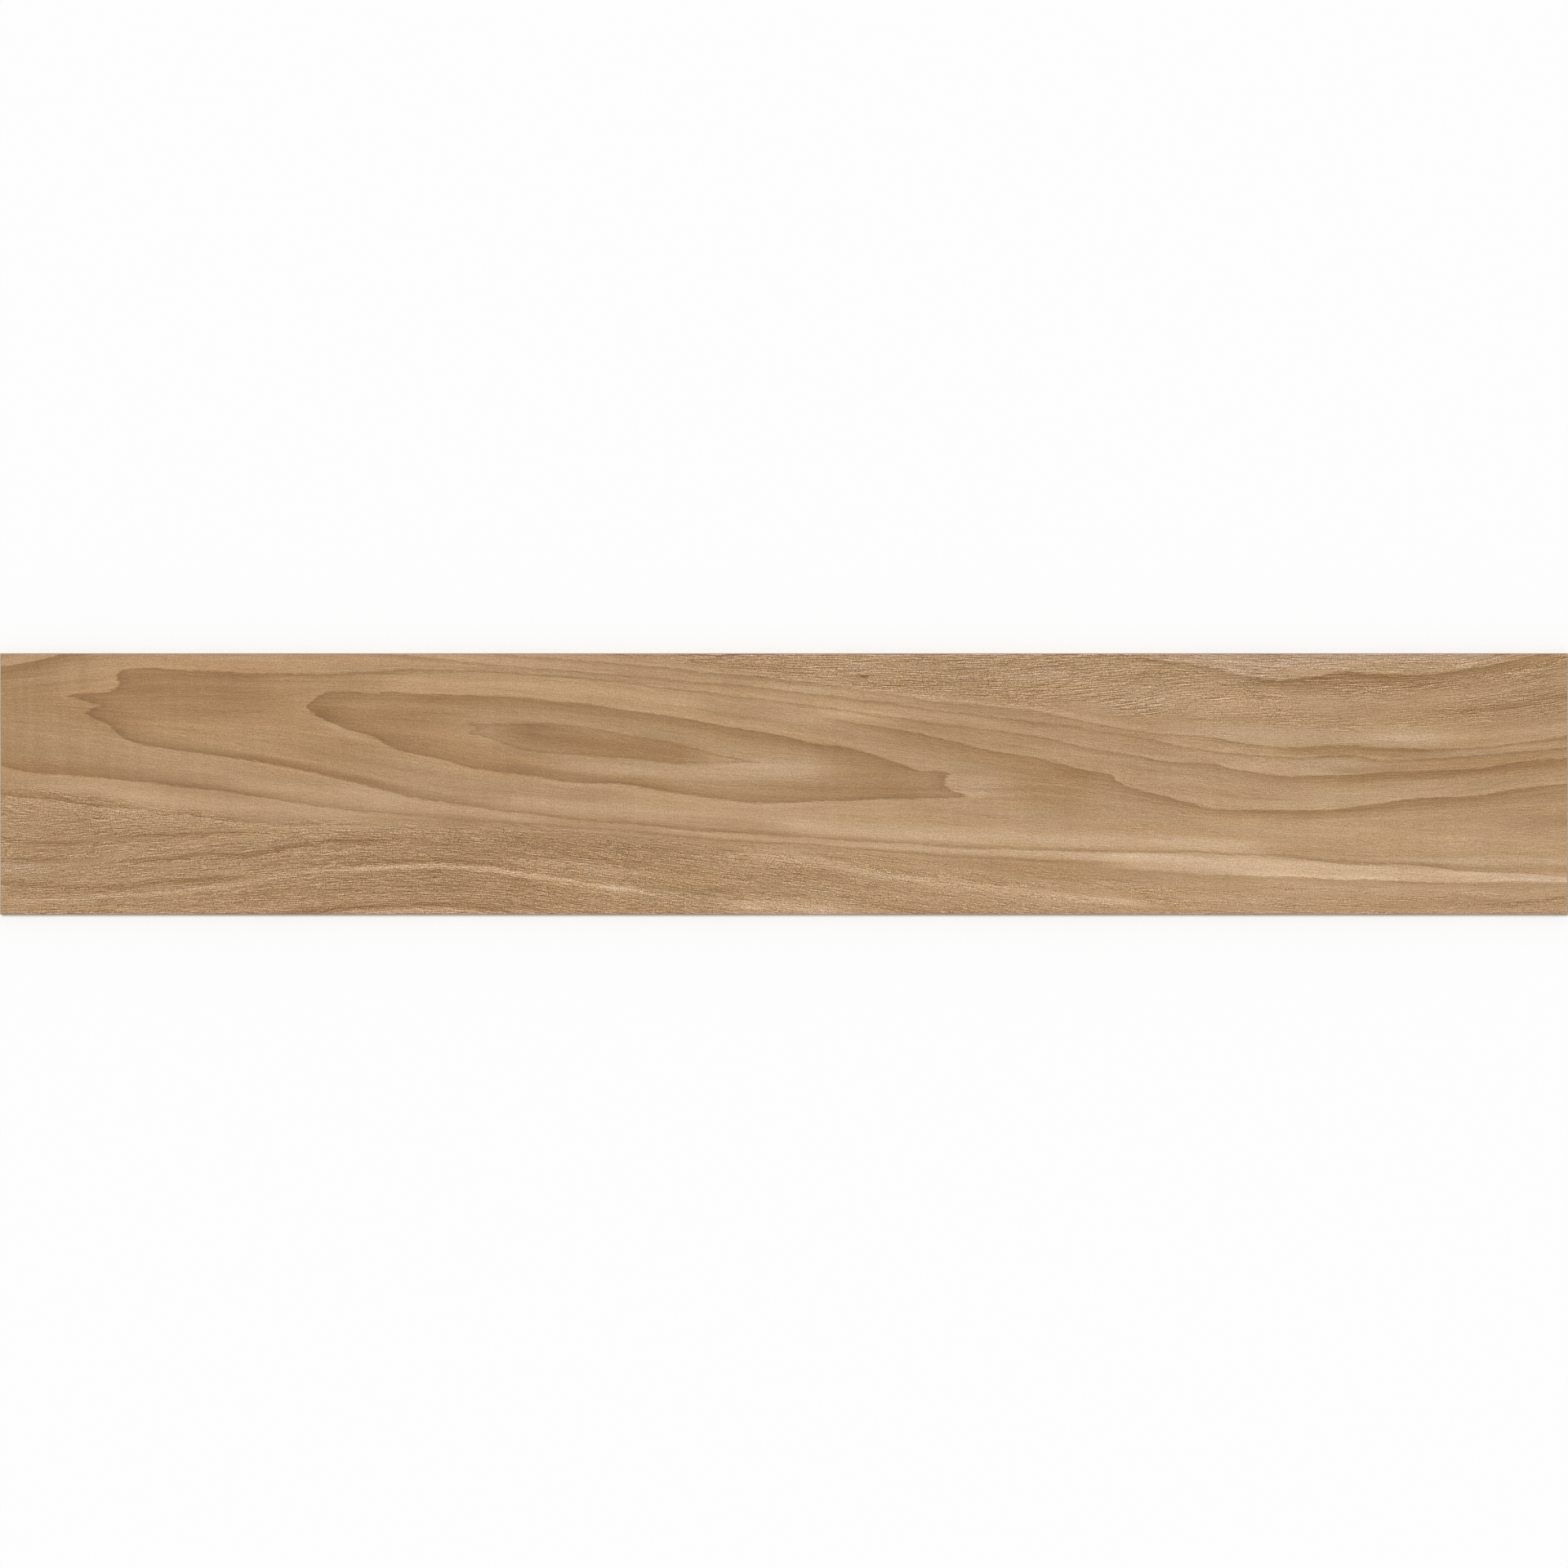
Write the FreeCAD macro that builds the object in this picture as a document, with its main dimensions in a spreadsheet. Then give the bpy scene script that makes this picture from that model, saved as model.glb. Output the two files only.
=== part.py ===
import FreeCAD, Part
import os
import Sketcher

# Wood look porcelain plank tile: one pressed and fired plate, cut square after firing.
#
# Frame of the part: the origin is the middle of the underside, +X runs along the
# plank, +Y across it and +Z up through its thickness to the wear face.
# Lengths are millimetres and angles are degrees.

NODE = "plank_tile"

SIZES = {
    # The finished plate after its four sides are ground straight and square.
    "plank_length": 1200.0,
    "plank_width": 200.0,
    "plank_thickness": 9.0,
    # Flat at 45 degrees that the grinding leaves along the rim of the wear face.
    "face_arris": 0.6,
    # Keying relief on the back: shallow channels along the plank with ribs between
    # them, for the adhesive to grip, inside a plain border of at least this width.
    "key_channel": 12.0,
    "key_rib": 4.0,
    "key_border": 13.0,
    "key_depth": 0.7,
    "key_draft": 30.0,
}

# The channels stand at one pitch across the plank, as many as fit inside the border,
# and the whole row of them is centred on the back.
KEY_PITCH = "(Sizes.key_channel + Sizes.key_rib)"
KEY_COUNT = f"floor((Sizes.plank_width - 2 * Sizes.key_border + Sizes.key_rib) / {KEY_PITCH})"
KEY_LENGTH = "(Sizes.plank_length - 2 * Sizes.key_border)"
KEY_ROW_HALF = f"(({KEY_COUNT} - 1) * {KEY_PITCH} + Sizes.key_channel) / 2"


def size_sheet(doc):
    """Put the driving dimensions in a sheet, one aliased cell for each."""
    sheet = doc.addObject("Spreadsheet::Sheet", "Sizes")
    for row, (alias, value) in enumerate(SIZES.items(), start=1):
        sheet.set(f"A{row}", alias)
        sheet.set(f"B{row}", str(value))
        sheet.setAlias(f"B{row}", alias)
    doc.recompute()
    return sheet


def underside_sketch(body, name):
    """Start a sketch on the plane of the underside."""
    plane = next(item for item in body.Origin.OriginFeatures if item.Role == "XY_Plane")
    sketch = body.newObject("Sketcher::SketchObject", name)
    sketch.AttachmentSupport = (plane, [""])
    sketch.MapMode = "FlatFace"
    return sketch


def rectangle(sketch, left, front, right, back):
    """Draw four joined sides, level and upright: front, right, back and left."""
    corners = [
        FreeCAD.Vector(left, front, 0),
        FreeCAD.Vector(right, front, 0),
        FreeCAD.Vector(right, back, 0),
        FreeCAD.Vector(left, back, 0),
    ]
    for side, corner in enumerate(corners):
        sketch.addGeometry(Part.LineSegment(corner, corners[(side + 1) % 4]), False)
    for side, direction in enumerate(("Horizontal", "Vertical", "Horizontal", "Vertical")):
        sketch.addConstraint(Sketcher.Constraint("Coincident", side, 2, (side + 1) % 4, 1))
        sketch.addConstraint(Sketcher.Constraint(direction, side))


def tie(sketch, name, constraint, expression):
    """Add a named dimension to a sketch and bind it to the sheet."""
    index = sketch.addConstraint(Sketcher.Constraint(*constraint))
    sketch.renameConstraint(index, name)
    sketch.setExpression(f"Constraints.{name}", expression)


def top_face(feature):
    """Name the face of a feature that lies highest."""
    heights = [face.CenterOfMass.z for face in feature.Shape.Faces]
    return f"Face{heights.index(max(heights)) + 1}"


def plate(doc, body):
    """Raise the plate from its plan and break the rim of its wear face."""
    length = SIZES["plank_length"]
    width = SIZES["plank_width"]
    plan = underside_sketch(body, "PlankPlan")
    rectangle(plan, -length / 2, -width / 2, length / 2, width / 2)
    plan.addConstraint(Sketcher.Constraint("Symmetric", 0, 1, 2, 1, -1, 1))
    tie(plan, "length", ("DistanceX", 0, 1, 0, 2, length), "Sizes.plank_length")
    tie(plan, "width", ("DistanceY", 1, 1, 1, 2, width), "Sizes.plank_width")
    doc.recompute()

    slab = body.newObject("PartDesign::Pad", "Slab")
    slab.Profile = plan
    slab.setExpression("Length", "Sizes.plank_thickness")
    doc.recompute()

    arris = body.newObject("PartDesign::Chamfer", "FaceArris")
    arris.Base = (slab, [top_face(slab)])
    arris.setExpression("Size", "Sizes.face_arris")
    doc.recompute()


def key_channels(doc, body):
    """Press the keying channels into the back, side by side across the plank."""
    length = SIZES["plank_length"] - 2 * SIZES["key_border"]
    width = SIZES["key_channel"]
    front = SIZES["key_border"] - SIZES["plank_width"] / 2
    outline = underside_sketch(body, "KeyOutline")
    rectangle(outline, -length / 2, front, length / 2, front + width)
    tie(outline, "length", ("DistanceX", 0, 1, 0, 2, length), KEY_LENGTH)
    tie(outline, "left", ("DistanceX", 0, 1, -1, 1, length / 2), f"{KEY_LENGTH} / 2")
    tie(outline, "width", ("DistanceY", 1, 1, 1, 2, width), "Sizes.key_channel")
    tie(outline, "front", ("DistanceY", 0, 1, -1, 1, -front), KEY_ROW_HALF)
    doc.recompute()

    channel = body.newObject("PartDesign::Pocket", "KeyChannel")
    channel.Profile = outline
    channel.Reversed = True
    channel.setExpression("Length", "Sizes.key_depth")
    channel.setExpression("TaperAngle", "-Sizes.key_draft")
    doc.recompute()

    row = body.newObject("PartDesign::LinearPattern", "KeyRow")
    row.Originals = [channel]
    row.Direction = (outline, ["V_Axis"])
    row.Mode = "Spacing"
    row.setExpression("Offset", KEY_PITCH)
    row.setExpression("Occurrences", KEY_COUNT)
    body.Tip = row
    doc.recompute()


def check(doc, body):
    """Stop before anything is written if a feature failed or the channels cut nothing."""
    for item in doc.Objects:
        if "Invalid" in item.State or "Error" in item.State:
            raise RuntimeError(f"{item.Label} failed: {item.State}")
    if body.Shape.isNull() or not body.Shape.isValid() or len(body.Shape.Solids) != 1:
        raise RuntimeError(f"{body.Label} is not one valid solid")
    plain = doc.getObject("FaceArris").Shape.Volume
    one_channel = plain - doc.getObject("KeyChannel").Shape.Volume
    all_channels = plain - body.Shape.Volume
    if one_channel <= 0 or all_channels < one_channel:
        raise RuntimeError("the keying channels do not cut the back")
    print(f"{body.Label}: {plain:.0f} mm3 before its channels, which take {all_channels:.0f} mm3")


def main():
    """Build the plank, check it and write its solid."""
    doc = FreeCAD.newDocument("PlankTile")
    size_sheet(doc)
    body = doc.addObject("PartDesign::Body", "PlankTile")
    body.Label = NODE
    body.Placement = FreeCAD.Placement()
    plate(doc, body)
    key_channels(doc, body)
    check(doc, body)
    os.makedirs("parts", exist_ok=True)
    body.Shape.exportStep(f"parts/{body.Label}.step")


main()
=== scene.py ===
"""Looks of the wood look porcelain plank tile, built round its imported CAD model."""

import logging
import math
from dataclasses import dataclass
from enum import Enum, IntEnum

import bmesh
import bpy
import numpy as np
from mathutils import Matrix, Vector


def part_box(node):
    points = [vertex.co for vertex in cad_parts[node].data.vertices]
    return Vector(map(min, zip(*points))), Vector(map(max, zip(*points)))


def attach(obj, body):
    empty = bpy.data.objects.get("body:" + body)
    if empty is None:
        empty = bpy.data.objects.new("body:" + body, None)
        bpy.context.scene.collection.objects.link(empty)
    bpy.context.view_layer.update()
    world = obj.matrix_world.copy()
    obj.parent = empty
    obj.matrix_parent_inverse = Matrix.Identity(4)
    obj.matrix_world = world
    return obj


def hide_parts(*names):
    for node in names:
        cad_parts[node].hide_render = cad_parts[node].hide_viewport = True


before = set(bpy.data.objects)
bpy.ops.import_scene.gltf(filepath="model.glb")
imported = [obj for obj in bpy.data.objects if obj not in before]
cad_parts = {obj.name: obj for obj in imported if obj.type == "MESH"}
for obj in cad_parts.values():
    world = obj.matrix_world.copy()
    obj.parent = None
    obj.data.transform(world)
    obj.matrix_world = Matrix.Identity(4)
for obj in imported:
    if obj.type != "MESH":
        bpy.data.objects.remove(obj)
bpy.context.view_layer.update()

log = logging.getLogger("plank")

MM = 0.001
TILE_NODE = "plank_tile"

# Least differences: in height and place in metres, and between points of a curve in mm.
SAME_HEIGHT = 1e-6
SAME_POINT = 1e-7
LEAST_GAP = 1e-3

Point = tuple[float, float]
RingPoint = tuple[float, float, float]
Colour = tuple[float, float, float, float]
Term = bpy.types.NodeSocket | float
ColourTerm = bpy.types.NodeSocket | Colour


class Finish(IntEnum):
    """Material slots of the plank's mesh."""

    PRINTED_GLAZE = 0
    FIRED_BODY = 1


class Trait(str, Enum):
    """Attributes that carry the wood figure from the mesh to its glaze."""

    RING = "ring"
    PITCH = "ring_pitch"
    DEPTH = "ring_depth"
    TONE = "tone"
    WARMTH = "warmth"
    PORES = "open_pores"
    GRAIN = "grain"
    EVEN_FIBRE = "even_fibre"
    ODD_FIBRE = "odd_fibre"


# The wood figure. Places are millimetres on the wear face, and tones are steps of 1/255.


@dataclass(frozen=True)
class RingLine:
    """Late wood edge of one growth ring, as the saw cut shows it.

    Attributes:
        ring: number of the ring, counted outward from the heart.
        points: (x, y, strength) along the edge. A negative strength turns dark and pale round.
        closed: whether the edge meets itself on the face.
    """

    ring: float
    points: tuple[RingPoint, ...]
    closed: bool = False


@dataclass(frozen=True)
class Streak:
    """Soft pale or dark stripe that follows the grain.

    Attributes:
        tone: how much paler its middle is, below 0 for a dark one.
        spread: half its width.
        points: (x, y) along it.
        warmth: how far it leans to golden brown, or below 0 to grey.
        edge: how crisp its edges are, from 2 for soft ones up.
    """

    tone: float
    spread: float
    points: tuple[Point, ...]
    warmth: float = 0.0
    edge: float = 2.0


@dataclass(frozen=True)
class Cloud:
    """Soft oval where the wood is another tone.

    Attributes:
        middle: (x, y) of its middle.
        reach: half its length and half its width.
        tone: how much paler its middle is, below 0 for a dark one.
        warmth: how far it leans to golden brown, or below 0 to grey.
    """

    middle: Point
    reach: Point
    tone: float
    warmth: float = 0.0


@dataclass(frozen=True)
class OpenGrain:
    """Part of the face where the pores are cut open and the fibre looks coarse.

    Attributes:
        side: 1 where it lies above its border, and -1 where it lies below.
        border: (x, y, coarseness) along its border.
    """

    side: int
    border: tuple[RingPoint, ...]


HEART = RingLine(1, (
    (-247, 47, .3), (-220, 46.5, .5), (-185, 47, .55), (-160, 45, .35), (-130, 39.5, .3),
    (-100, 34.5, .3), (-70, 28, .35), (-45, 21.5, .45), (-18, 16, .4), (-35, 16, .4),
    (-60, 16, .4), (-85, 15, .4), (-110, 19, .4), (-140, 21, .4), (-180, 23.5, .35),
    (-200, 26, .3), (-220, 32.5, .35), (-235, 37, .35), (-242, 38.5, .25), (-236, 42, .15)), closed=True)

CORE = RingLine(2, (
    (-365, 59.5, .7), (-358, 66, .9), (-350, 70, .9), (-330, 71, .8), (-310, 69.5, 1),
    (-300, 70.3, 1), (-280, 68.5, 1.1), (-250, 68.5, 1.2), (-200, 67, 1.25), (-160, 62, 1.2),
    (-120, 56.5, 1), (-80, 51, 1.1), (-40, 44, 1.1), (0, 36.5, .9), (20, 32, .8),
    (40, 29, .8), (60, 25.5, .8), (80, 18.5, .8), (90, 15, .9), (100, 11.5, .9),
    (127, 7.5, .9), (124, 2, .9), (128, -4, 1), (140, -10, .7), (112, -11, .8),
    (75, -11.5, .9), (50, -13, 1), (20, -13.5, 1), (0, -15, 1), (-40, -12.5, .9),
    (-80, -8, .8), (-120, -.5, .9), (-165, 1.3, 1.1), (-190, 6, 1.1), (-225, 10.3, 1),
    (-240, 12.5, .9), (-260, 18, .9), (-303, 29, 1.1), (-312, 35, 1.1), (-330, 41, 1.1),
    (-349, 48.5, 1.1), (-360, 54, 1)), closed=True)

SHOULDER = RingLine(3, (
    (20, 55, 0), (45, 49, .3), (60, 46, .6), (80, 42.5, .7), (100, 39, .8), (120, 34.5, .8),
    (160, 26, .6), (200, 18.5, .6), (230, 10.5, .8), (250, 7, 1), (255, 2, .9), (265, -2.5, .9),
    (292, -9, .9), (300, -12, .8), (330, -18.5, .6), (360, -20, .7), (400, -20, .8),
    (430, -18.5, .8), (460, -14.5, .9), (490, -10.5, .9), (530, -9, .7), (560, -4, .7), (600, .5, .7)))

LOOP = RingLine(4, (
    (600, 20, .9), (560, 17, .9), (540, 13, .9), (500, 10.5, 1.1), (460, 9, 1.2), (430, 7, 1.2),
    (400, 6, 1.1), (370, 8, 1), (340, 12, 1), (320, 16.5, .9), (290, 18, .7), (270, 22.5, .5),
    (230, 28.5, .5), (200, 35, .45), (160, 41.5, .45), (120, 46.5, .45), (90, 50.5, .45), (60, 55.5, .5),
    (20, 60.5, .4), (-20, 65.5, .4), (-60, 70.5, .5), (-100, 75.5, .5), (-140, 80.5, .4),
    (-180, 83.5, .8), (-220, 86.5, 1), (-260, 87.5, 1), (-300, 87, 1), (-360, 84.5, 1.1),
    (-410, 85, .8), (-460, 87.5, .7), (-490, 89, .7), (-505, 87.5, .9), (-511, 82, 1), (-508, 77, 1),
    (-515, 72, .9), (-530, 70, .9), (-547, 67.5, .9), (-530, 62, .7), (-524, 60, .5), (-535, 54, .8),
    (-522, 48, 1), (-512, 41, 1.1), (-502, 34, 1.2), (-485, 28.5, 1.2), (-455, 24.5, 1.2),
    (-425, 20.5, 1.2), (-400, 16.5, 1.2), (-380, 12.5, 1.2), (-350, 6.5, 1.2), (-310, -4, 1.2),
    (-285, -10, 1), (-240, -17.5, 1), (-200, -23, .9), (-160, -28, .9), (-120, -31, .8), (-60, -36.5, .7),
    (0, -40, .7), (60, -44, .7), (100, -46, .7), (140, -49.5, .9), (200, -51, 1),
    (260, -53, 1), (300, -52.5, .9), (360, -55, .8), (400, -58, .8), (440, -62, .9), (480, -62, .8),
    (520, -67.5, .7), (560, -68.5, .6), (600, -71.5, .5)))

CORNER_RING = RingLine(5, (
    (-600, 90, 1.2), (-580, 93, 1.2), (-565, 96, 1.1), (-550, 99.5, .8), (-530, 103, .4)))

UPPER_FIFTH = RingLine(5, (
    (-320, 101, .2), (-280, 97.5, .5), (-240, 93, .6), (-200, 89.5, .6), (-140, 85, .5), (-80, 79.5, .5),
    (-20, 74.5, .5), (40, 67.5, .5), (80, 62, .5), (140, 54, .5), (200, 47, .5), (240, 41, .5),
    (280, 34.5, .5), (310, 28, .6), (350, 23.5, .9), (400, 20.5, .9), (438, 22, .9), (455, 19, .8),
    (500, 20.5, .7), (560, 24.5, .7), (600, 28.5, .7)))

LOWER_FIFTH = RingLine(5, (
    (-600, 14, 1.1), (-570, 8, 1.2), (-530, 5, 1.1), (-510, 3.5, .9), (-480, -.5, .8), (-430, -6, .8),
    (-400, -11, .6), (-360, -16.5, .45), (-300, -23.5, .35), (-240, -28, .3), (-180, -32.5, .4),
    (-120, -37.5, .45), (-60, -43, .45), (0, -46.5, .5), (60, -50.5, .5), (100, -54, .45), (160, -58, .35),
    (240, -62, .1), (320, -69, -.3), (350, -70, -.6), (400, -71.5, -.8), (450, -73.5, -.9),
    (480, -75, -.8), (520, -75.5, -.7), (560, -74, -.6), (600, -74.5, -.5)))

UPPER_SIXTH = RingLine(6, (
    (-200, 98, .2), (-160, 95, .4), (-100, 90, .45), (-40, 84, .5), (20, 77.5, .5), (60, 72, .5),
    (120, 63.5, .5), (180, 58, .5), (220, 50, .45), (260, 42, .5), (290, 38.5, .5), (330, 35.5, .6),
    (350, 31, .8), (380, 28, .9), (430, 30, .9), (460, 27.5, .9), (500, 27, .9), (540, 29, .9),
    (575, 33, .8), (600, 37.5, .8)))

LOWER_SIXTH = RingLine(6, (
    (-600, -8.5, 1), (-560, -13, 1), (-520, -17.5, .8), (-480, -21, .4), (-440, -26, .6),
    (-420, -28.5, .6), (-390, -31.5, .6), (-350, -31.8, .35), (-300, -33, .2), (-200, -39, 0)))

SEVENTH = RingLine(7, (
    (230, 101.5, .2), (270, 97.5, .3), (300, 93, .5), (330, 88.5, .6), (350, 83.5, .9), (380, 80, 1.1),
    (410, 82.5, 1.1), (430, 86.5, 1), (445, 84, 1), (480, 83, 1.1), (520, 87.5, 1), (550, 92.5, .9),
    (580, 99.5, .8), (600, 104, .8)))

# Levels between the rings, with no edge of their own, that keep the rings' spacing even.
UNSEEN_LEVELS = (
    RingLine(.35, ((-225, 41, 0), (-180, 36, 0), (-130, 30, 0), (-80, 24, 0), (-45, 18.5, 0))),
    RingLine(1.2, ((-262, 50, 0), (-266, 44, 0), (-258, 37, 0))),
    RingLine(2.15, ((142, 8, 0), (140, 2, 0), (146, -5, 0))),
    RingLine(2.3, ((175, 2, 0), (210, -8, 0), (245, -18, 0), (280, -28, 0), (340, -34, 0),
                   (420, -36, 0), (500, -33, 0), (600, -30, 0))),
    RingLine(3, ((20, -27, 0), (100, -33, 0), (200, -41, 0), (300, -46, 0), (400, -51, 0),
                 (500, -54, 0), (600, -58, 0))),
    RingLine(5.4, ((-600, 104, 0), (-570, 108, 0))),
    RingLine(6.5, ((200, 80, 0), (260, 71, 0), (320, 61, 0), (400, 55, 0), (480, 55, 0),
                   (560, 62, 0), (600, 68, 0))),
    RingLine(6.75, ((230, 88, 0), (320, 76, 0), (380, 68, 0), (440, 69, 0), (520, 71, 0), (600, 84, 0))),
    RingLine(8, ((200, 118, 0), (300, 116, 0), (380, 106, 0), (480, 108, 0), (600, 125, 0))),
    RingLine(9, ((-600, -110, 0), (-400, -110, 0), (-200, -112, 0), (0, -120, 0), (200, -125, 0),
                 (400, -130, 0), (600, -130, 0))),
)

RINGS = (HEART, CORE, SHOULDER, LOOP, CORNER_RING, UPPER_FIFTH, LOWER_FIFTH, UPPER_SIXTH, LOWER_SIXTH,
         SEVENTH)

THIN_STREAKS = (
    Streak(15, 1.6, ((-620, -91), (-560, -88.5), (-500, -85), (-470, -83), (-430, -78), (-400, -73.5),
                     (-370, -69), (-330, -65.5), (-300, -64))),
    Streak(32, 1.4, ((-345, -66.5), (-300, -64), (-260, -62.5), (-230, -65), (-200, -69), (-160, -75.5),
                     (-130, -79.5), (-100, -83)), 0, 2.5),
    Streak(18, 2.0, ((-150, -77.5), (-110, -82), (-75, -86), (-40, -91), (-10, -96))),
    Streak(15, 2.0, ((-215, -57.5), (-180, -61), (-140, -66), (-90, -72))),
    Streak(20, 2.4, ((-45, -53), (-20, -54.5), (10, -57), (40, -62), (60, -67), (100, -73), (140, -78),
                     (200, -84), (240, -88), (290, -93))),
    Streak(18, 2.0, ((-350, -99.5), (-310, -98), (-260, -96.5), (-225, -98))),
    Streak(22, 3.5, ((-50, -92), (-10, -93), (20, -95), (60, -99))),
    Streak(10, 2.5, ((440, 37), (490, 35), (530, 37), (560, 40), (640, 47))),
    Streak(6, 1.6, ((480, 65), (520, 68.5), (560, 73.5), (640, 86))),
    Streak(8, 1.6, ((530, 79), (560, 85), (640, 105))),
    Streak(8, 1.7, ((540, -71.5), (600, -72.5), (640, -73)), -.3),
    Streak(15, 2.0, ((430, -57), (500, -58.5), (560, -59), (640, -60)), -.4),
    Streak(12, 2.0, ((-30, 99), (10, 99))),
    Streak(-27, 1.2, ((-515, -59), (-480, -58), (-440, -53.5), (-410, -54.5), (-380, -48.5),
                      (-340, -43.5), (-320, -44), (-290, -44))),
    Streak(-15, 1.5, ((-350, -63), (-310, -59.5), (-260, -59), (-215, -61.5))),
    Streak(-20, 1.5, ((-400, -100), (-340, -95.5), (-300, -93), (-250, -92.5), (-200, -97))),
    Streak(-15, 1.5, ((50, -91), (80, -94.5), (125, -100))),
    Streak(-20, 1.2, ((-620, -40), (-590, -43), (-550, -45.5), (-520, -44))),
    Streak(-15, 1.2, ((-530, -42), (-490, -39.5), (-450, -38), (-390, -36.5))),
    Streak(-19, 1.2, ((-620, -57.5), (-570, -58), (-530, -58.5))),
    Streak(-18, 1.5, ((-620, -74), (-560, -78), (-500, -78.5), (-480, -75), (-410, -71.5))),
    Streak(-12, 1.2, ((230, 80.5), (260, 82), (300, 83))),
    Streak(-11, 1.2, ((190, 64), (240, 66.5))),
    Streak(-10, 2.5, ((-80, 92.5), (-30, 91), (30, 89.5))),
    Streak(-10, 1.2, ((290, 49), (340, 50), (380, 49))),
    Streak(-14, 1.6, ((490, 53.5), (550, 59), (600, 67.5), (640, 76))),
)

PALE_BANDS = (
    Streak(11, 5, ((-315, 78), (-280, 77), (-200, 74.5), (-140, 69), (-100, 63), (-50, 57)), .5),
    Streak(8, 4, ((-520, 95), (-400, 93), (-300, 95), (-200, 93), (-120, 86))),
    Streak(8, 3.5, ((-140, -7), (-100, -10), (-40, -16), (30, -18.5), (110, -18))),
    Streak(9, 5, ((-180, 14), (-120, 11), (-60, 9), (0, 9), (40, 12)), -.4),
    Streak(8, 3, ((-360, -3), (-310, -9), (-260, -19), (-180, -29))),
    Streak(8, 2, ((-260, -31), (-180, -35), (-100, -36))),
    Streak(13, 3.5, ((-230, -14), (-150, -18), (-100, -21), (-50, -24), (0, -29), (40, -33))),
    Streak(18, 5, ((-10, -30), (40, -34), (100, -37.5), (180, -41), (280, -45), (380, -50)), -.1),
    Streak(8, 3, ((60, -44), (160, -50), (260, -56), (340, -61), (420, -64), (500, -68), (560, -70)), -.2),
    Streak(15, 2.6, ((165, -53.5), (220, -55.5), (250, -56.5), (280, -58)), .1, 4),
    Streak(22, 5.6, ((240, -57.5), (320, -61.5), (400, -65.5), (440, -67.5), (480, -69.5)), .1, 7),
    Streak(21, 3.6, ((450, -68.5), (500, -70), (560, -71), (650, -74)), .1, 5),
    Streak(6, 5, ((20, 61), (60, 52), (110, 44)), .3),
    Streak(9, 1.8, ((-30, 78), (50, 71), (100, 66.5), (150, 61), (200, 55.5), (250, 46.5), (300, 37))),
    Streak(8, 2.5, ((70, 58.5), (110, 54), (150, 50), (190, 44.5))),
    Streak(8, 4.5, ((-80, 76), (-40, 71), (0, 66), (50, 60), (100, 53)), .3),
    Streak(16, 1.6, ((-110, -34), (-60, -38.5), (-30, -41), (0, -43), (50, -46.8), (100, -49.5), (160, -53),
                     (200, -54.5)), .2),
    Streak(6, 5, ((270, 8), (330, 4), (380, -6), (440, -8), (520, 0)), -.3),
    Streak(7, 2.5, ((290, -8), (330, -14), (400, -15.5), (440, -12.5))),
    Streak(10, 4.5, ((270, 34), (320, 40), (400, 36), (470, 35), (520, 37)), -.7),
    Streak(9, 5, ((330, 15), (370, 13), (420, 15), (470, 17)), -.4),
    Streak(8, 1.5, ((300, 22), (340, 27), (420, 25.5), (500, 24), (600, 33))),
    Streak(12, 6, ((290, 103), (330, 99), (370, 94), (440, 98), (500, 98), (560, 104)), -.8),
    Streak(11, 4, ((-530, -7), (-470, -10), (-420, -17), (-360, -23), (-300, -28), (-250, -30))),
    Streak(-12, 3, ((-500, 1), (-450, -3.5), (-420, -7), (-385, -12)), .2),
    Streak(9, 3, ((-440, 2), (-400, -3), (-360, -8), (-320, -12), (-280, -18))),
    Streak(-6, 4, ((-330, -27), (-260, -29), (-200, -34), (-150, -38))),
    Streak(9, 2.2, ((-375, 54), (-352, 46.5), (-335, 39.5), (-318, 32.5), (-300, 26)), -1.2),
)

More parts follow.
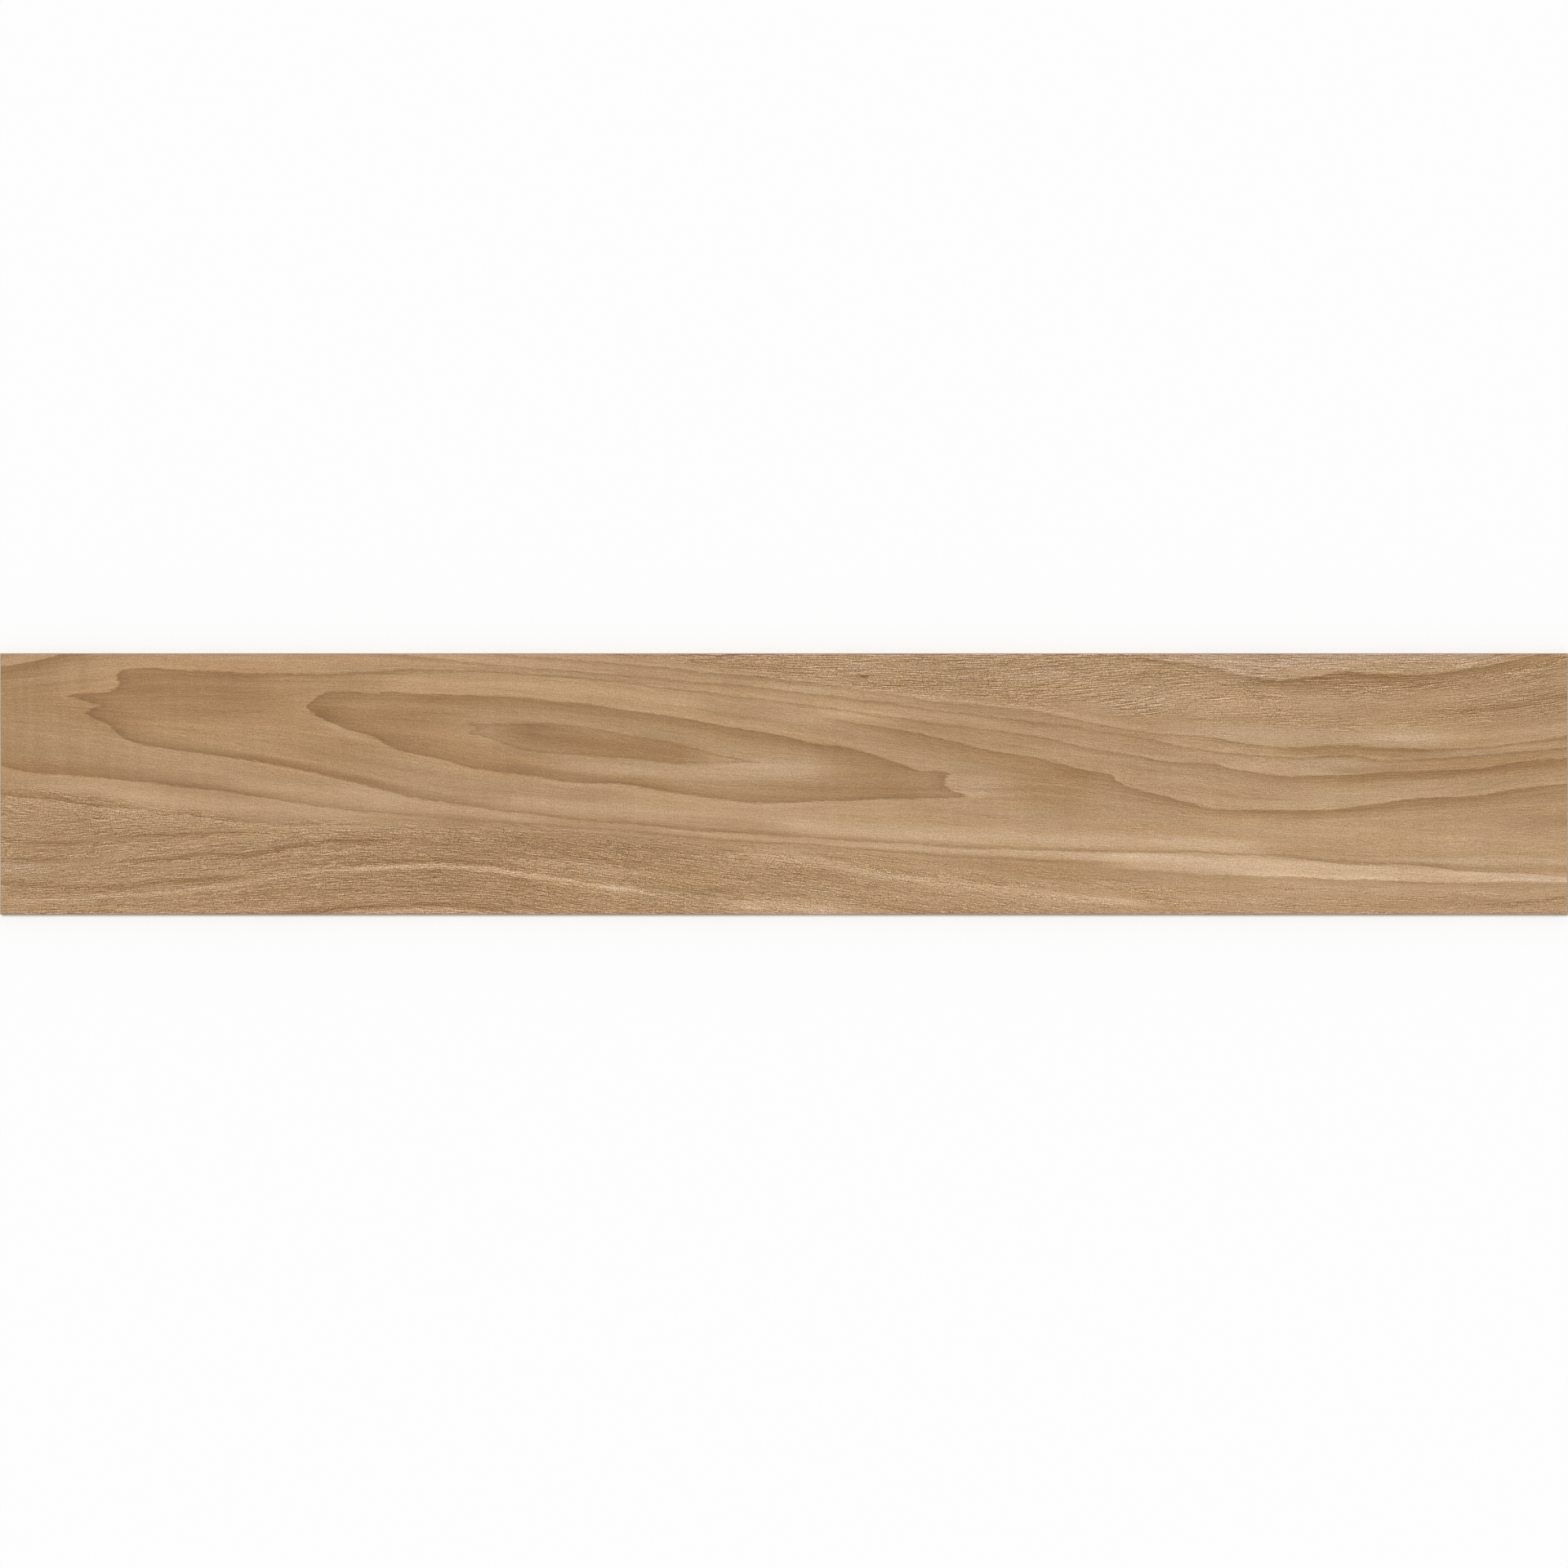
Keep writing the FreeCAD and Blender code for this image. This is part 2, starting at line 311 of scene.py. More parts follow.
DARK_BODIES = (
    Streak(-8, 13, ((-520, 78), (-460, 74), (-380, 70)), .8),
    Streak(-7, 7, ((-560, 60), (-530, 58), (-500, 50), (-480, 45)), .5),
    Streak(-8, 5, ((-640, 17), (-560, 12), (-520, 9), (-490, 6)), .9),
    Streak(-7, 3.5, ((-640, 84), (-590, 86), (-550, 94), (-520, 100)), .3),
    Streak(-9, 3.5, ((-560, 52), (-530, 50), (-515, 40), (-490, 32)), .4),
    Streak(-8, 2.5, ((-430, 25), (-400, 19), (-350, 10), (-310, 0), (-280, -7)), .6),
    Streak(-9, 4, ((370, 80), (385, 78), (410, 79), (440, 82), (500, 83), (560, 90), (620, 99)), .4),
    Streak(-9, 3, ((410, 3), (450, 5), (500, 6.5), (560, 12), (640, 18)), .7),
    Streak(-8, 9, ((-360, 52), (-330, 48), (-290, 38), (-240, 24), (-180, 12)), .8),
    Streak(-7, 6, ((-300, 66), (-200, 61), (-100, 50), (0, 33), (60, 21)), .6),
    Streak(-23, 6.3, ((-225, 41), (-170, 33.5), (-110, 26.5), (-50, 19)), 1.0),
    Streak(-8, 4, ((-230, 15), (-170, 8), (-120, 3), (-80, -2)), .5),
    Streak(-9, 11, ((20, 20), (70, 10), (110, 2)), .5),
    Streak(-6, 5, ((-120, -3), (-40, -8), (40, -6), (120, -5)), .6),
    Streak(-8, 7, ((60, 42), (120, 30), (180, 18), (250, 4)), .5),
    Streak(-8, 12, ((160, 8), (210, -8), (250, -12)), .6),
    Streak(-6, 3, ((200, 10), (245, 5), (260, 2)), .4),
    Streak(-6, 3, ((265, -4), (290, -9), (305, -13)), .4),
    Streak(-18, 2.5, ((370, 25.5), (410, 25), (450, 24.5), (520, 24)), .6),
    Streak(9, 3, ((280, 26), (330, 22.5), (380, 19.5), (430, 17.5))),
    Streak(-6, 3, ((440, 10), (500, 13), (600, 23)), .8),
    Streak(-5, 3, ((320, -20), (400, -23), (500, -14), (600, -4)), .4),
    Streak(-7, 7, ((-300, -52), (-200, -48), (-60, -52)), -.2),
    Streak(-8, 4, ((-120, -80), (-80, -84), (-30, -82)), -.1),
    Streak(-4, 6, ((-420, -80), (-320, -74), (-220, -76)), -.1),
)

CLOUDS = (
    Cloud((-550, -3), (20, 3), 12),
    Cloud((-590, -64), (25, 4), 10, -.8),
    Cloud((-15, -80), (25, 5), -5, -.4),
    Cloud((0, 14), (35, 6), 6, -.4),
    Cloud((148, -1), (12, 7), 8, -.6),
    Cloud((142, 10), (18, 4), -7),
    Cloud((190, -68), (50, 8), -4, .4),
    Cloud((118, -67), (26, 6), 6),
    Cloud((125, 86), (30, 4), -8),
    Cloud((62, -98), (22, 3), 9),
    Cloud((-25, -63), (22, 5), 6),
    Cloud((-480, 45), (40, 8), 3),
    Cloud((-450, -64), (60, 5), 4),
    Cloud((100, 88), (120, 10), 4),
    Cloud((100, -80), (110, 9), 4),
    Cloud((310, 62), (70, 12), 8),
    Cloud((455, 55), (60, 5), -5),
    Cloud((432, 10), (13, 2.5), -11),
    Cloud((600, -28), (35, 6), -9),
    Cloud((595, 86), (16, 4), 8),
    Cloud((375, -70), (14, 8), 5),
    Cloud((515, -47), (14, 4), 6),
    Cloud((430, -38), (170, 12), 10, .2),
    Cloud((430, -88), (160, 9), 9),
    Cloud((545, -92), (28, 3), -12),
    Cloud((460, -95), (25, 3), -9),
    Cloud((-590, 70), (45, 14), -8, .3),
    Cloud((-440, 70), (90, 16), -8, .3),
    Cloud((-445, 53), (34, 4), -6),
    Cloud((-335, 27), (20, 6), -8),
    Cloud((-278, 52), (32, 8), -9, .2),
    Cloud((-352, 54), (11, 6), -16, .2),
    Cloud((-328, 60), (12, 4), 5),
    Cloud((-335, 66), (14, 3), -9),
    Cloud((-192, 43), (14, 2), -10),
    Cloud((-228, 32), (20, 4), 7),
    Cloud((-480, -18), (30, 3), 7),
    Cloud((120, 78), (30, 3), -7),
    Cloud((215, 22), (26, 5), 6),
    Cloud((-262, 33), (38, 4), -6),
    Cloud((-560, 35), (60, 16), -5),
    Cloud((28, 51), (26, 4), 12),
    Cloud((-32, 75), (24, 5), -6),
    Cloud((-260, -70), (230, 25), -6, .1),
    Cloud((-470, 60), (120, 30), 0, .6),
    Cloud((-350, 40), (70, 25), 0, .5),
    Cloud((250, 90), (200, 15), 0, -.4),
    Cloud((-450, -50), (160, 30), 0, -.3),
)

# Lines that the fibre runs along where it leaves the rings.
FIBRE_LINES = (
    ((-610, -58), (-550, -49.5), (-480, -41), (-400, -34), (-330, -30), (-270, -29.5), (-200, -36),
     (-120, -45), (-40, -54), (40, -63)),
    ((-610, -73), (-550, -65), (-480, -56), (-400, -47), (-330, -41), (-270, -40), (-200, -47),
     (-120, -57), (-40, -66), (40, -77), (120, -88)),
    ((-610, -86), (-540, -80), (-470, -73), (-400, -66), (-330, -58), (-270, -56), (-200, -62), (-120, -72),
     (-40, -82), (40, -92), (120, -103)),
    ((-610, -97), (-540, -93), (-470, -87), (-400, -81), (-330, -75), (-270, -73), (-210, -77), (-140, -86),
     (-70, -94), (0, -101)),
    ((-450, -101), (-390, -98), (-330, -93), (-270, -91), (-210, -95), (-150, -102)),
    ((60, -60), (150, -72), (240, -81), (330, -86), (420, -87), (520, -86), (610, -84)),
    ((150, -86), (240, -96), (330, -99), (420, -100), (610, -97)),
    ((-60, 96), (30, 97), (150, 98), (210, 101)),
    ((-20, 84), (40, 85), (100, 86), (180, 88), (240, 95)),
    ((60, 75), (120, 75), (180, 77), (240, 84), (290, 88)),
    ((110, 64), (170, 65), (230, 72), (290, 80), (330, 82)),
    ((180, 54), (230, 58), (290, 68), (350, 72), (420, 72)),
    ((240, 48), (300, 56), (360, 61), (430, 62), (500, 67), (560, 76), (610, 86)),
    ((290, 44), (350, 48), (430, 50), (500, 54), (560, 62), (610, 70)),
)

OPEN_GRAINS = (
    OpenGrain(-1, ((-600, 0, .8), (-550, -8, .8), (-500, -15, .8), (-450, -22, .8), (-400, -30, .85),
                   (-300, -32, 1), (-200, -36, 1), (-150, -40, .9), (-50, -48, .8), (50, -55, .8),
                   (150, -66, .6), (300, -76, .45), (400, -79, .4), (600, -82, .4))),
    OpenGrain(1, ((-150, 101, .4), (-50, 90, .8), (0, 80, .9), (100, 68, .9), (200, 60, 1), (300, 50, .85),
                  (400, 42, .65), (480, 42, .65), (560, 50, .55), (600, 55, .55))),
)


# Working the figure out from its lines.


TracedLines = list[tuple[RingLine, np.ndarray]]


def through(points: tuple[tuple[float, ...], ...], step: float, closed: bool = False) -> np.ndarray:
    """Draw a smooth curve through given points.

    Args:
        points: the points, whose first two numbers are x and y.
        step: longest gap between points of the curve.
        closed: whether the last point is joined to the first.

    Returns:
        Points along the curve, one row each, with as many numbers as the points have.
    """
    set_points = np.array(points, float)
    if closed:
        ends = np.vstack([set_points[-1], set_points, set_points[0], set_points[1]])
    else:
        lead_in = 2 * set_points[0] - set_points[1]
        lead_out = 2 * set_points[-1] - set_points[-2]
        ends = np.vstack([lead_in, set_points, lead_out])
    curve = []
    for back, start, stop, ahead in zip(ends[:-3], ends[1:-2], ends[2:-1], ends[3:]):
        before, here, after = [max(np.hypot(*(far - near)[:2]) ** 0.5, LEAST_GAP)
                               for near, far in ((back, start), (start, stop), (stop, ahead))]
        leave = (start - back) / before - (stop - back) / (before + here) + (stop - start) / here
        reach = (stop - start) / here - (ahead - start) / (here + after) + (ahead - stop) / after
        count = max(1, math.ceil(np.hypot(*(stop - start)[:2]) / step))
        for t in np.arange(count) / count:
            curve.append((2 * t**3 - 3 * t**2 + 1) * start + (t**3 - 2 * t**2 + t) * leave * here
                         + (3 * t**2 - 2 * t**3) * stop + (t**3 - t**2) * reach * here)
    if not closed:
        curve.append(set_points[-1])
    return np.array(curve)


def eased(value: np.ndarray) -> np.ndarray:
    """Turn a straight ramp from 0 to 1 into one with soft ends."""
    held = np.clip(value, 0, 1)
    return held * held * (3 - 2 * held)


@dataclass(frozen=True)
class WoodFigure:
    """Cathedral figure of a flat sawn board, worked out over a lattice of the wear face.

    Attributes:
        curve_step: gap between the points that a line is read at.
        across_weight: how much further apart two points count across the grain than along it.
        point_softness: how softly the field passes its points.
        widest_pitch: largest width that a ring counts as having.
        narrowest_pitch: smallest width that a ring counts as having.
        strength_reach: how far along and across the grain a ring's strength is shared.
        strength_fades: how far off a ring's strength begins to fade, and by how much more it is gone.
        streak_end: length over which a streak fades at its ends.
        faint_pores: coarseness of the closed grain at the right, where it begins, and over what length.
        border_softness: how gradually open grain begins.
        fibre_span: length over which the fine fibre is followed before it starts afresh.
        steepest_guide: steepest part of a ring or streak that the fibre still follows.
        near_reach: how far along and across the grain a guide turns the fibre.
        far_reach: the same for its weak pull on the rest.
        far_pull: how strong that weak pull is.
        guide_lattice: columns and rows at which the fibre's direction is read.
    """

    curve_step: float = 12.0
    across_weight: float = 5.0
    point_softness: float = 4.0
    widest_pitch: float = 60.0
    narrowest_pitch: float = 3.0
    strength_reach: Point = (14.0, 4.0)
    strength_fades: Point = (18.0, 18.0)
    streak_end: float = 30.0
    faint_pores: RingPoint = (0.08, 20.0, 200.0)
    border_softness: float = 15.0
    fibre_span: float = 160.0
    steepest_guide: float = 0.3
    near_reach: Point = (35.0, 7.0)
    far_reach: Point = (140.0, 28.0)
    far_pull: float = 0.02
    guide_lattice: tuple[int, int] = (121, 61)

    def traits(self, xs: np.ndarray, ys: np.ndarray) -> dict[Trait, np.ndarray]:
        """Work out every attribute of the figure.

        Args:
            xs: places of the lattice's columns.
            ys: places of the lattice's rows, evenly spaced.

        Returns:
            One array for each trait, a row for each of ys.
        """
        x, y = np.meshgrid(xs, ys)
        lines = [(line, through(line.points, self.curve_step, line.closed)) for line in RINGS]
        levels = lines + [(line, through(line.points, self.curve_step)) for line in UNSEEN_LEVELS]
        ring = self.ring_field(levels, x, y)
        down, along = np.gradient(ring, ys, xs)
        steepness = np.maximum(np.hypot(down, along), 1 / self.widest_pitch)
        tone, warmth = self.tones(x, y)
        slope = self.fibre_slope(xs, ys)
        return {
            Trait.RING: ring,
            Trait.PITCH: np.maximum(1 / steepness, self.narrowest_pitch),
            Trait.DEPTH: self.depth_field(lines, ring, x, y),
            Trait.TONE: tone,
            Trait.WARMTH: warmth,
            Trait.PORES: self.open_pores(x, y),
            Trait.GRAIN: self.follow_fibre(xs, ys, slope, 0.0, 2 * xs[-1]),
            Trait.EVEN_FIBRE: self.follow_fibre(xs, ys, slope, 0.0, self.fibre_span),
            Trait.ODD_FIBRE: self.follow_fibre(xs, ys, slope, 0.5, self.fibre_span),
        }

    def gap(self, dx: np.ndarray, dy: np.ndarray) -> np.ndarray:
        """Distance between points, weighted across the grain and softened close by."""
        return np.sqrt(dx**2 + (self.across_weight * dy) ** 2 + self.point_softness**2)

    def ring_field(self, levels: TracedLines, x: np.ndarray, y: np.ndarray) -> np.ndarray:
        """Bend one smooth sheet through all rings, so that each place has a ring number.

        Args:
            levels: pairs of a ring line and the points along it.
            x: x of each place.
            y: y of each place.

        Returns:
            Ring number of each place, with the part of the way to the next ring.
        """
        points = np.vstack([curve[:, :2] for _, curve in levels])
        rings = np.concatenate([np.full(len(curve), float(line.ring)) for line, curve in levels])
        pull = self.gap(points[:, None, 0] - points[None, :, 0], points[:, None, 1] - points[None, :, 1])
        tilt = np.column_stack([np.ones(len(points)), points])
        balance = np.block([[pull, tilt], [tilt.T, np.zeros((3, 3))]])
        weights = np.linalg.solve(balance, np.concatenate([rings, np.zeros(3)]))
        level, tilt_x, tilt_y = weights[-3:]
        field = np.empty(x.shape)
        for row in range(x.shape[0]):
            pulls = self.gap(x[row][:, None] - points[:, 0], y[row][:, None] - points[:, 1])
            field[row] = pulls @ weights[:-3] + level + tilt_x * x[row] + tilt_y * y[row]
        return field

    def depth_field(self, lines: TracedLines, ring: np.ndarray, x: np.ndarray, y: np.ndarray) -> np.ndarray:
        """Spread each ring's strength over the places nearest to it.

        Args:
            lines: pairs of a ring line and the points along it, with their strengths.
            ring: ring number of each place.
            x: x of each place.
            y: y of each place.

        Returns:
            Strength of the nearest ring edge at each place.
        """
        along, across = self.strength_reach
        fades_from, fades_by = self.strength_fades
        nearest = np.round(ring)
        depth = np.zeros(ring.shape)
        for number in sorted({line.ring for line, _ in lines}):
            here = nearest == number
            if not here.any():
                continue
            edge = np.vstack([curve for line, curve in lines if line.ring == number])
            dx = (x[here][:, None] - edge[:, 0]) / along
            dy = (y[here][:, None] - edge[:, 1]) / across
            far = dx**2 + dy**2
            closest = far.min(1)
            weight = np.exp((closest[:, None] - far) / 2)
            fade = np.clip(1 - (closest - fades_from) / fades_by, 0, 1)
            depth[here] = (weight @ edge[:, 2]) / weight.sum(1) * fade
        return depth

    def tones(self, x: np.ndarray, y: np.ndarray) -> tuple[np.ndarray, np.ndarray]:
        """Add up the streaks and clouds.

        Args:
            x: x of each place.
            y: y of each place.

        Returns:
            Tone and warmth of each place.
        """
        tone = np.zeros(x.shape)
        warmth = np.zeros(x.shape)
        for streak in THIN_STREAKS + PALE_BANDS + DARK_BODIES:
            curve = through(streak.points, self.curve_step)
            middle = np.interp(x, curve[:, 0], curve[:, 1])
            starts = np.clip((x - curve[0, 0]) / self.streak_end, 0, 1)
            stops = np.clip((curve[-1, 0] - x) / self.streak_end, 0, 1)
            share = starts * stops * np.exp(-(np.abs((y - middle) / streak.spread) ** streak.edge) / 2)
            tone += streak.tone * share
            warmth += streak.warmth * share
        for cloud in CLOUDS:
            dx = (x - cloud.middle[0]) / cloud.reach[0]
            dy = (y - cloud.middle[1]) / cloud.reach[1]
            share = np.exp(-(dx**2 + dy**2) / 2)
            tone += cloud.tone * share
            warmth += cloud.warmth * share
        return tone, warmth

    def open_pores(self, x: np.ndarray, y: np.ndarray) -> np.ndarray:
        """Say how coarse the fibre is.

        Args:
            x: x of each place.
            y: y of each place.

        Returns:
            Coarseness of each place, from 0 for closed grain to 1.
        """
        off_face = 300.0
        faint, begins, over = self.faint_pores
        coarse = faint * eased((x - begins) / over)
        for zone in OPEN_GRAINS:
            border = through(zone.border, self.curve_step)
            edge = np.interp(x, border[:, 0], border[:, 1], left=off_face * zone.side)
            most = np.interp(x, border[:, 0], border[:, 2])
            coarse = np.maximum(coarse, most * eased((y - edge) * zone.side / self.border_softness + 0.5))
        return coarse

    def fibre_slope(self, xs: np.ndarray, ys: np.ndarray) -> np.ndarray:
        """Read the direction of the fibre from the rings and streaks nearby.

        Args:
            xs: places of the lattice's columns.
            ys: places of the lattice's rows.

        Returns:
            Rise of the fibre for each step along the plank.
        """
        least_weight = 1e-9
        fibre_line_weight = 3
        guides = [line.points for line in RINGS] + [streak.points for streak in THIN_STREAKS + PALE_BANDS]
        samples = []
        for guide in guides + list(FIBRE_LINES) * fibre_line_weight:
            curve = through(guide, self.curve_step)[:, :2]
            run, rise = np.diff(curve, axis=0).T
            gentle = np.abs(rise) < self.steepest_guide * np.abs(run)
            middles = (curve[1:] + curve[:-1]) / 2
            samples.append(np.column_stack([middles[gentle], (rise / np.where(run == 0, 1, run))[gentle]]))
        known = np.vstack(samples)
        coarse_x = np.linspace(xs[0], xs[-1], self.guide_lattice[0])
        coarse_y = np.linspace(ys[0], ys[-1], self.guide_lattice[1])
        slopes = np.empty((len(coarse_y), len(coarse_x)))
        for row, y in enumerate(coarse_y):
            dx = coarse_x[:, None] - known[:, 0]
            dy = y - known[:, 1]
            near = np.exp(-((dx / self.near_reach[0]) ** 2) - (dy / self.near_reach[1]) ** 2)
            far = self.far_pull * np.exp(-((dx / self.far_reach[0]) ** 2) - (dy / self.far_reach[1]) ** 2)
            weight = near + far + least_weight
            slopes[row] = (weight @ known[:, 2]) / weight.sum(1)
        by_column = np.array([np.interp(xs, coarse_x, row) for row in slopes])
        return np.array([np.interp(ys, coarse_y, column) for column in by_column.T]).T

    def follow_fibre(self, xs: np.ndarray, ys: np.ndarray, slope: np.ndarray, start: float,
                     span: float) -> np.ndarray:
        """Follow the fibre both ways from evenly spaced lines across the plank.

        Args:
            xs: places of the lattice's columns.
            ys: places of the lattice's rows.
            slope: rise of the fibre at each place.
            start: where the first line is past the middle, as a share of the span.
            span: distance between the lines.

        Returns:
            For each place, where its fibre crosses the nearest line.
        """
        share = xs / span - start
        nearest = np.abs(share - np.rint(share))
        order = np.argsort(nearest, kind="stable")
        field = np.empty(slope.shape)
        step = xs[1] - xs[0]
        for column in order:
            ahead = column - 1 if share[column] > np.rint(share[column]) else column + 1
            if nearest[column] * span <= step / 2 or not 0 <= ahead < len(xs):
                field[:, column] = ys
                continue
            came_from = ys + slope[:, column] * (xs[ahead] - xs[column])
            inner = np.interp(came_from, ys, field[:, ahead])
            low = field[0, ahead] + came_from - ys[0]
            high = field[-1, ahead] + came_from - ys[-1]
            field[:, column] = np.where(came_from < ys[0], low, np.where(came_from > ys[-1], high, inner))
        return field


@dataclass(frozen=True)
class Swell:
    """Smooth, seeded rise and fall of the wear face.

    Attributes:
        length: its length along the grain in mm.
        width: its width across the grain in mm.
        start: the part of its pattern that it starts in, along and across the grain.
        seed: which pattern.
    """

    length: float
    width: float
    start: Point
    seed: int

    def read(self, along: np.ndarray, across: np.ndarray) -> np.ndarray:
        """Read it at many places.

        Args:
            along: place along the grain in mm.
            across: place across the grain in mm.

        Returns:
            The swell at each place, from -1 to 1.
        """
        size = 256
        knots = np.random.default_rng(self.seed).uniform(-1, 1, (size, size))
        column = along / self.length + self.start[0]
        row = across / self.width + self.start[1]
        left, low = np.floor(column).astype(int), np.floor(row).astype(int)
        u, v = eased(column - left), eased(row - low)
        near, far = left % size, (left + 1) % size
        below, above = low % size, (low + 1) % size
        under = knots[below, near] * (1 - u) + knots[below, far] * u
        over = knots[above, near] * (1 - u) + knots[above, far] * u
        return under * (1 - v) + over * v


# Wiring of the finishes.


def linear(red: int, green: int, blue: int) -> Colour:
    """Turn a screen colour from 0 to 255 into a shader's linear colour."""
    shares = [part / 255 for part in (red, green, blue)]
    return (*[s / 12.92 if s <= 0.04045 else ((s + 0.055) / 1.055) ** 2.4 for s in shares], 1.0)


class Wiring:
    """Adds nodes to a tree and joins them, so that a finish reads as its recipe."""

    def __init__(self, tree: bpy.types.NodeTree) -> None:
        """Start on an empty tree.

        Args:
            tree: the tree, whose nodes are taken out first.
        """
        self.tree = tree
        self.tree.nodes.clear()
        self.made = 0

    def node(self, kind: str, **settings: object) -> bpy.types.Node:
        """Add a node.

        Args:
            kind: its type, without the leading ShaderNode where it has that.
            settings: its own settings by name.

        Returns:
            The new node.
        """
        rows, spacing = 6, 190
        made = self.tree.nodes.new(kind if kind.startswith("NodeGroup") else f"ShaderNode{kind}")
        made.location = (self.made // rows * spacing, -(self.made % rows) * spacing)
        self.made += 1
        for name, value in settings.items():
            setattr(made, name, value)
        return made

    def feed(self, socket: bpy.types.NodeSocket, source: Term) -> None:
        """Join a socket to another one, or set it to a value.

        Args:
            socket: the input.
            source: what it gets.
        """
        if isinstance(source, bpy.types.NodeSocket):
            self.tree.links.new(source, socket)
        else:
            socket.default_value = source

    def maths(self, operation: str, *terms: Term, clamp: bool = False) -> bpy.types.NodeSocket:
        """Add a sum.

        Args:
            operation: the Math node's operation.
            terms: its inputs, sockets or numbers.
            clamp: whether the result is held between 0 and 1.

        Returns:
            The socket with its result.
        """
        made = self.node("Math", operation=operation, use_clamp=clamp)
        for socket, term in zip(made.inputs, terms):
            self.feed(socket, term)
        return made.outputs[0]

    def chain(self, operation: str, terms: tuple[Term, ...]) -> Term:
        """Carry one operation on over any number of terms.

        Args:
            operation: the Math nodes' operation.
            terms: the terms, sockets or numbers.

        Returns:
            The socket with the result.
        """
        result = terms[0]
        for term in terms[1:]:
            result = self.maths(operation, result, term)
        return result

    def total(self, *terms: Term) -> Term:
        """Add up any number of terms."""
        return self.chain("ADD", terms)

    def product(self, *terms: Term) -> Term:
        """Multiply any number of terms."""
        return self.chain("MULTIPLY", terms)

    def ramp(self, value: Term, start: float, stop: float, low: float = 0.0,
             high: float = 1.0) -> bpy.types.NodeSocket:
        """Ease a value from one range into another.

        Args:
            value: the socket to read.
            start: where the range begins.
            stop: where it ends.
            low: result at the start and before it.
            high: result at the stop and after it.

        Returns:
            The socket with the eased value.
        """
        made = self.node("MapRange", interpolation_type="SMOOTHSTEP", clamp=True)
        terms = {"Value": value, "From Min": start, "From Max": stop, "To Min": low, "To Max": high}
        for name, term in terms.items():
            self.feed(made.inputs[name], term)
        return made.outputs["Result"]

    def decay(self, distance: Term, length: float) -> bpy.types.NodeSocket:
        """Fall from 1 towards 0 with distance, to about a third over each length."""
        return self.maths("POWER", math.exp(-1 / length), distance)

    def trait(self, name: Trait) -> bpy.types.NodeSocket:
        """Read one of the mesh's attributes."""
        return self.node("Attribute", attribute_name=name.value).outputs["Fac"]

    def place_in_mm(self, axes: str) -> list[Term]:
        """Read the place on the object.

        Args:
            axes: the axes to read, such as XY.

        Returns:
            The place along each of them, in mm.
        """
        split = self.node("SeparateXYZ")
        self.feed(split.inputs[0], self.node("TexCoord").outputs["Object"])
        return [self.product(split.outputs[axis], 1 / MM) for axis in axes]

    def tint(self, share: Term, colour: ColourTerm, over: ColourTerm,
             blend: str = "MIX") -> bpy.types.NodeSocket:
        """Blend one colour over another.

        Args:
            share: how much of it.
            colour: the colour underneath.
            over: the colour laid over it.
            blend: the way in which it is laid over.

        Returns:
            The socket with the blended colour.
        """
        made = self.node("Mix", data_type="RGBA", blend_type=blend)
        self.feed(made.inputs["Factor"], share)
        self.feed(made.inputs["A"], colour)
        self.feed(made.inputs["B"], over)
        return made.outputs["Result"]

    def colour_ramp(self, value: Term, colours: tuple[tuple[float, Colour], ...]) -> bpy.types.NodeSocket:
        """Turn a value into a colour.

        Args:
            value: the socket to read.
            colours: the colours in order, each with the value that it stands at.

        Returns:
            The socket with the colour.
        """
        first, last = colours[0][0], colours[-1][0]
        made = self.node("ValToRGB")
        stops = made.color_ramp.elements
        for _ in colours[2:]:
            stops.new(0.5)
        for stop, (at, _) in zip(stops, colours):
            stop.position = (at - first) / (last - first)
        for stop, (_, colour) in zip(stops, colours):
            stop.color = colour
        self.feed(made.inputs[0], self.maths("DIVIDE", self.maths("SUBTRACT", value, first), last - first))
        return made.outputs[0]

    def place(self, group: bpy.types.NodeTree, **inputs: Term) -> bpy.types.Node:
        """Put a node group in the tree.

        Args:
            group: the group.
            inputs: its inputs by name.

        Returns:
            The group's node.
        """
        made = self.node("Group")
        made.node_tree = group
        for name, value in inputs.items():
            self.feed(made.inputs[name], value)
        return made

    def gloss(self, colour: Term, roughness: Term, relief: Term, strength: float, depth: float,
              specular: float) -> None:
        """End a material with its shader, over a fine relief.

        Args:
            colour: colour of the surface.
            roughness: roughness of the surface.
            relief: height of the relief, as a share of its depth.
            strength: how much of the relief shows.
            depth: depth of the relief.
            specular: how strongly the surface shines.
        """
        bump = self.node("Bump")
        bump.inputs["Strength"].default_value = strength
        bump.inputs["Distance"].default_value = depth
        self.feed(bump.inputs["Height"], relief)
        shader = self.node("BsdfPrincipled")
        shader.inputs["Specular IOR Level"].default_value = specular
        self.feed(shader.inputs["Base Color"], colour)
        self.feed(shader.inputs["Roughness"], roughness)
        self.feed(shader.inputs["Normal"], bump.outputs[0])
        self.feed(self.node("OutputMaterial").inputs["Surface"], shader.outputs[0])


def new_material(name: str) -> tuple[bpy.types.Material, Wiring]:
    """Start a material.

    Args:
        name: its name.

    Returns:
        The material and the wiring inside it.
    """
    material = bpy.data.materials.new(name)
    material.use_nodes = True
    return material, Wiring(material.node_tree)


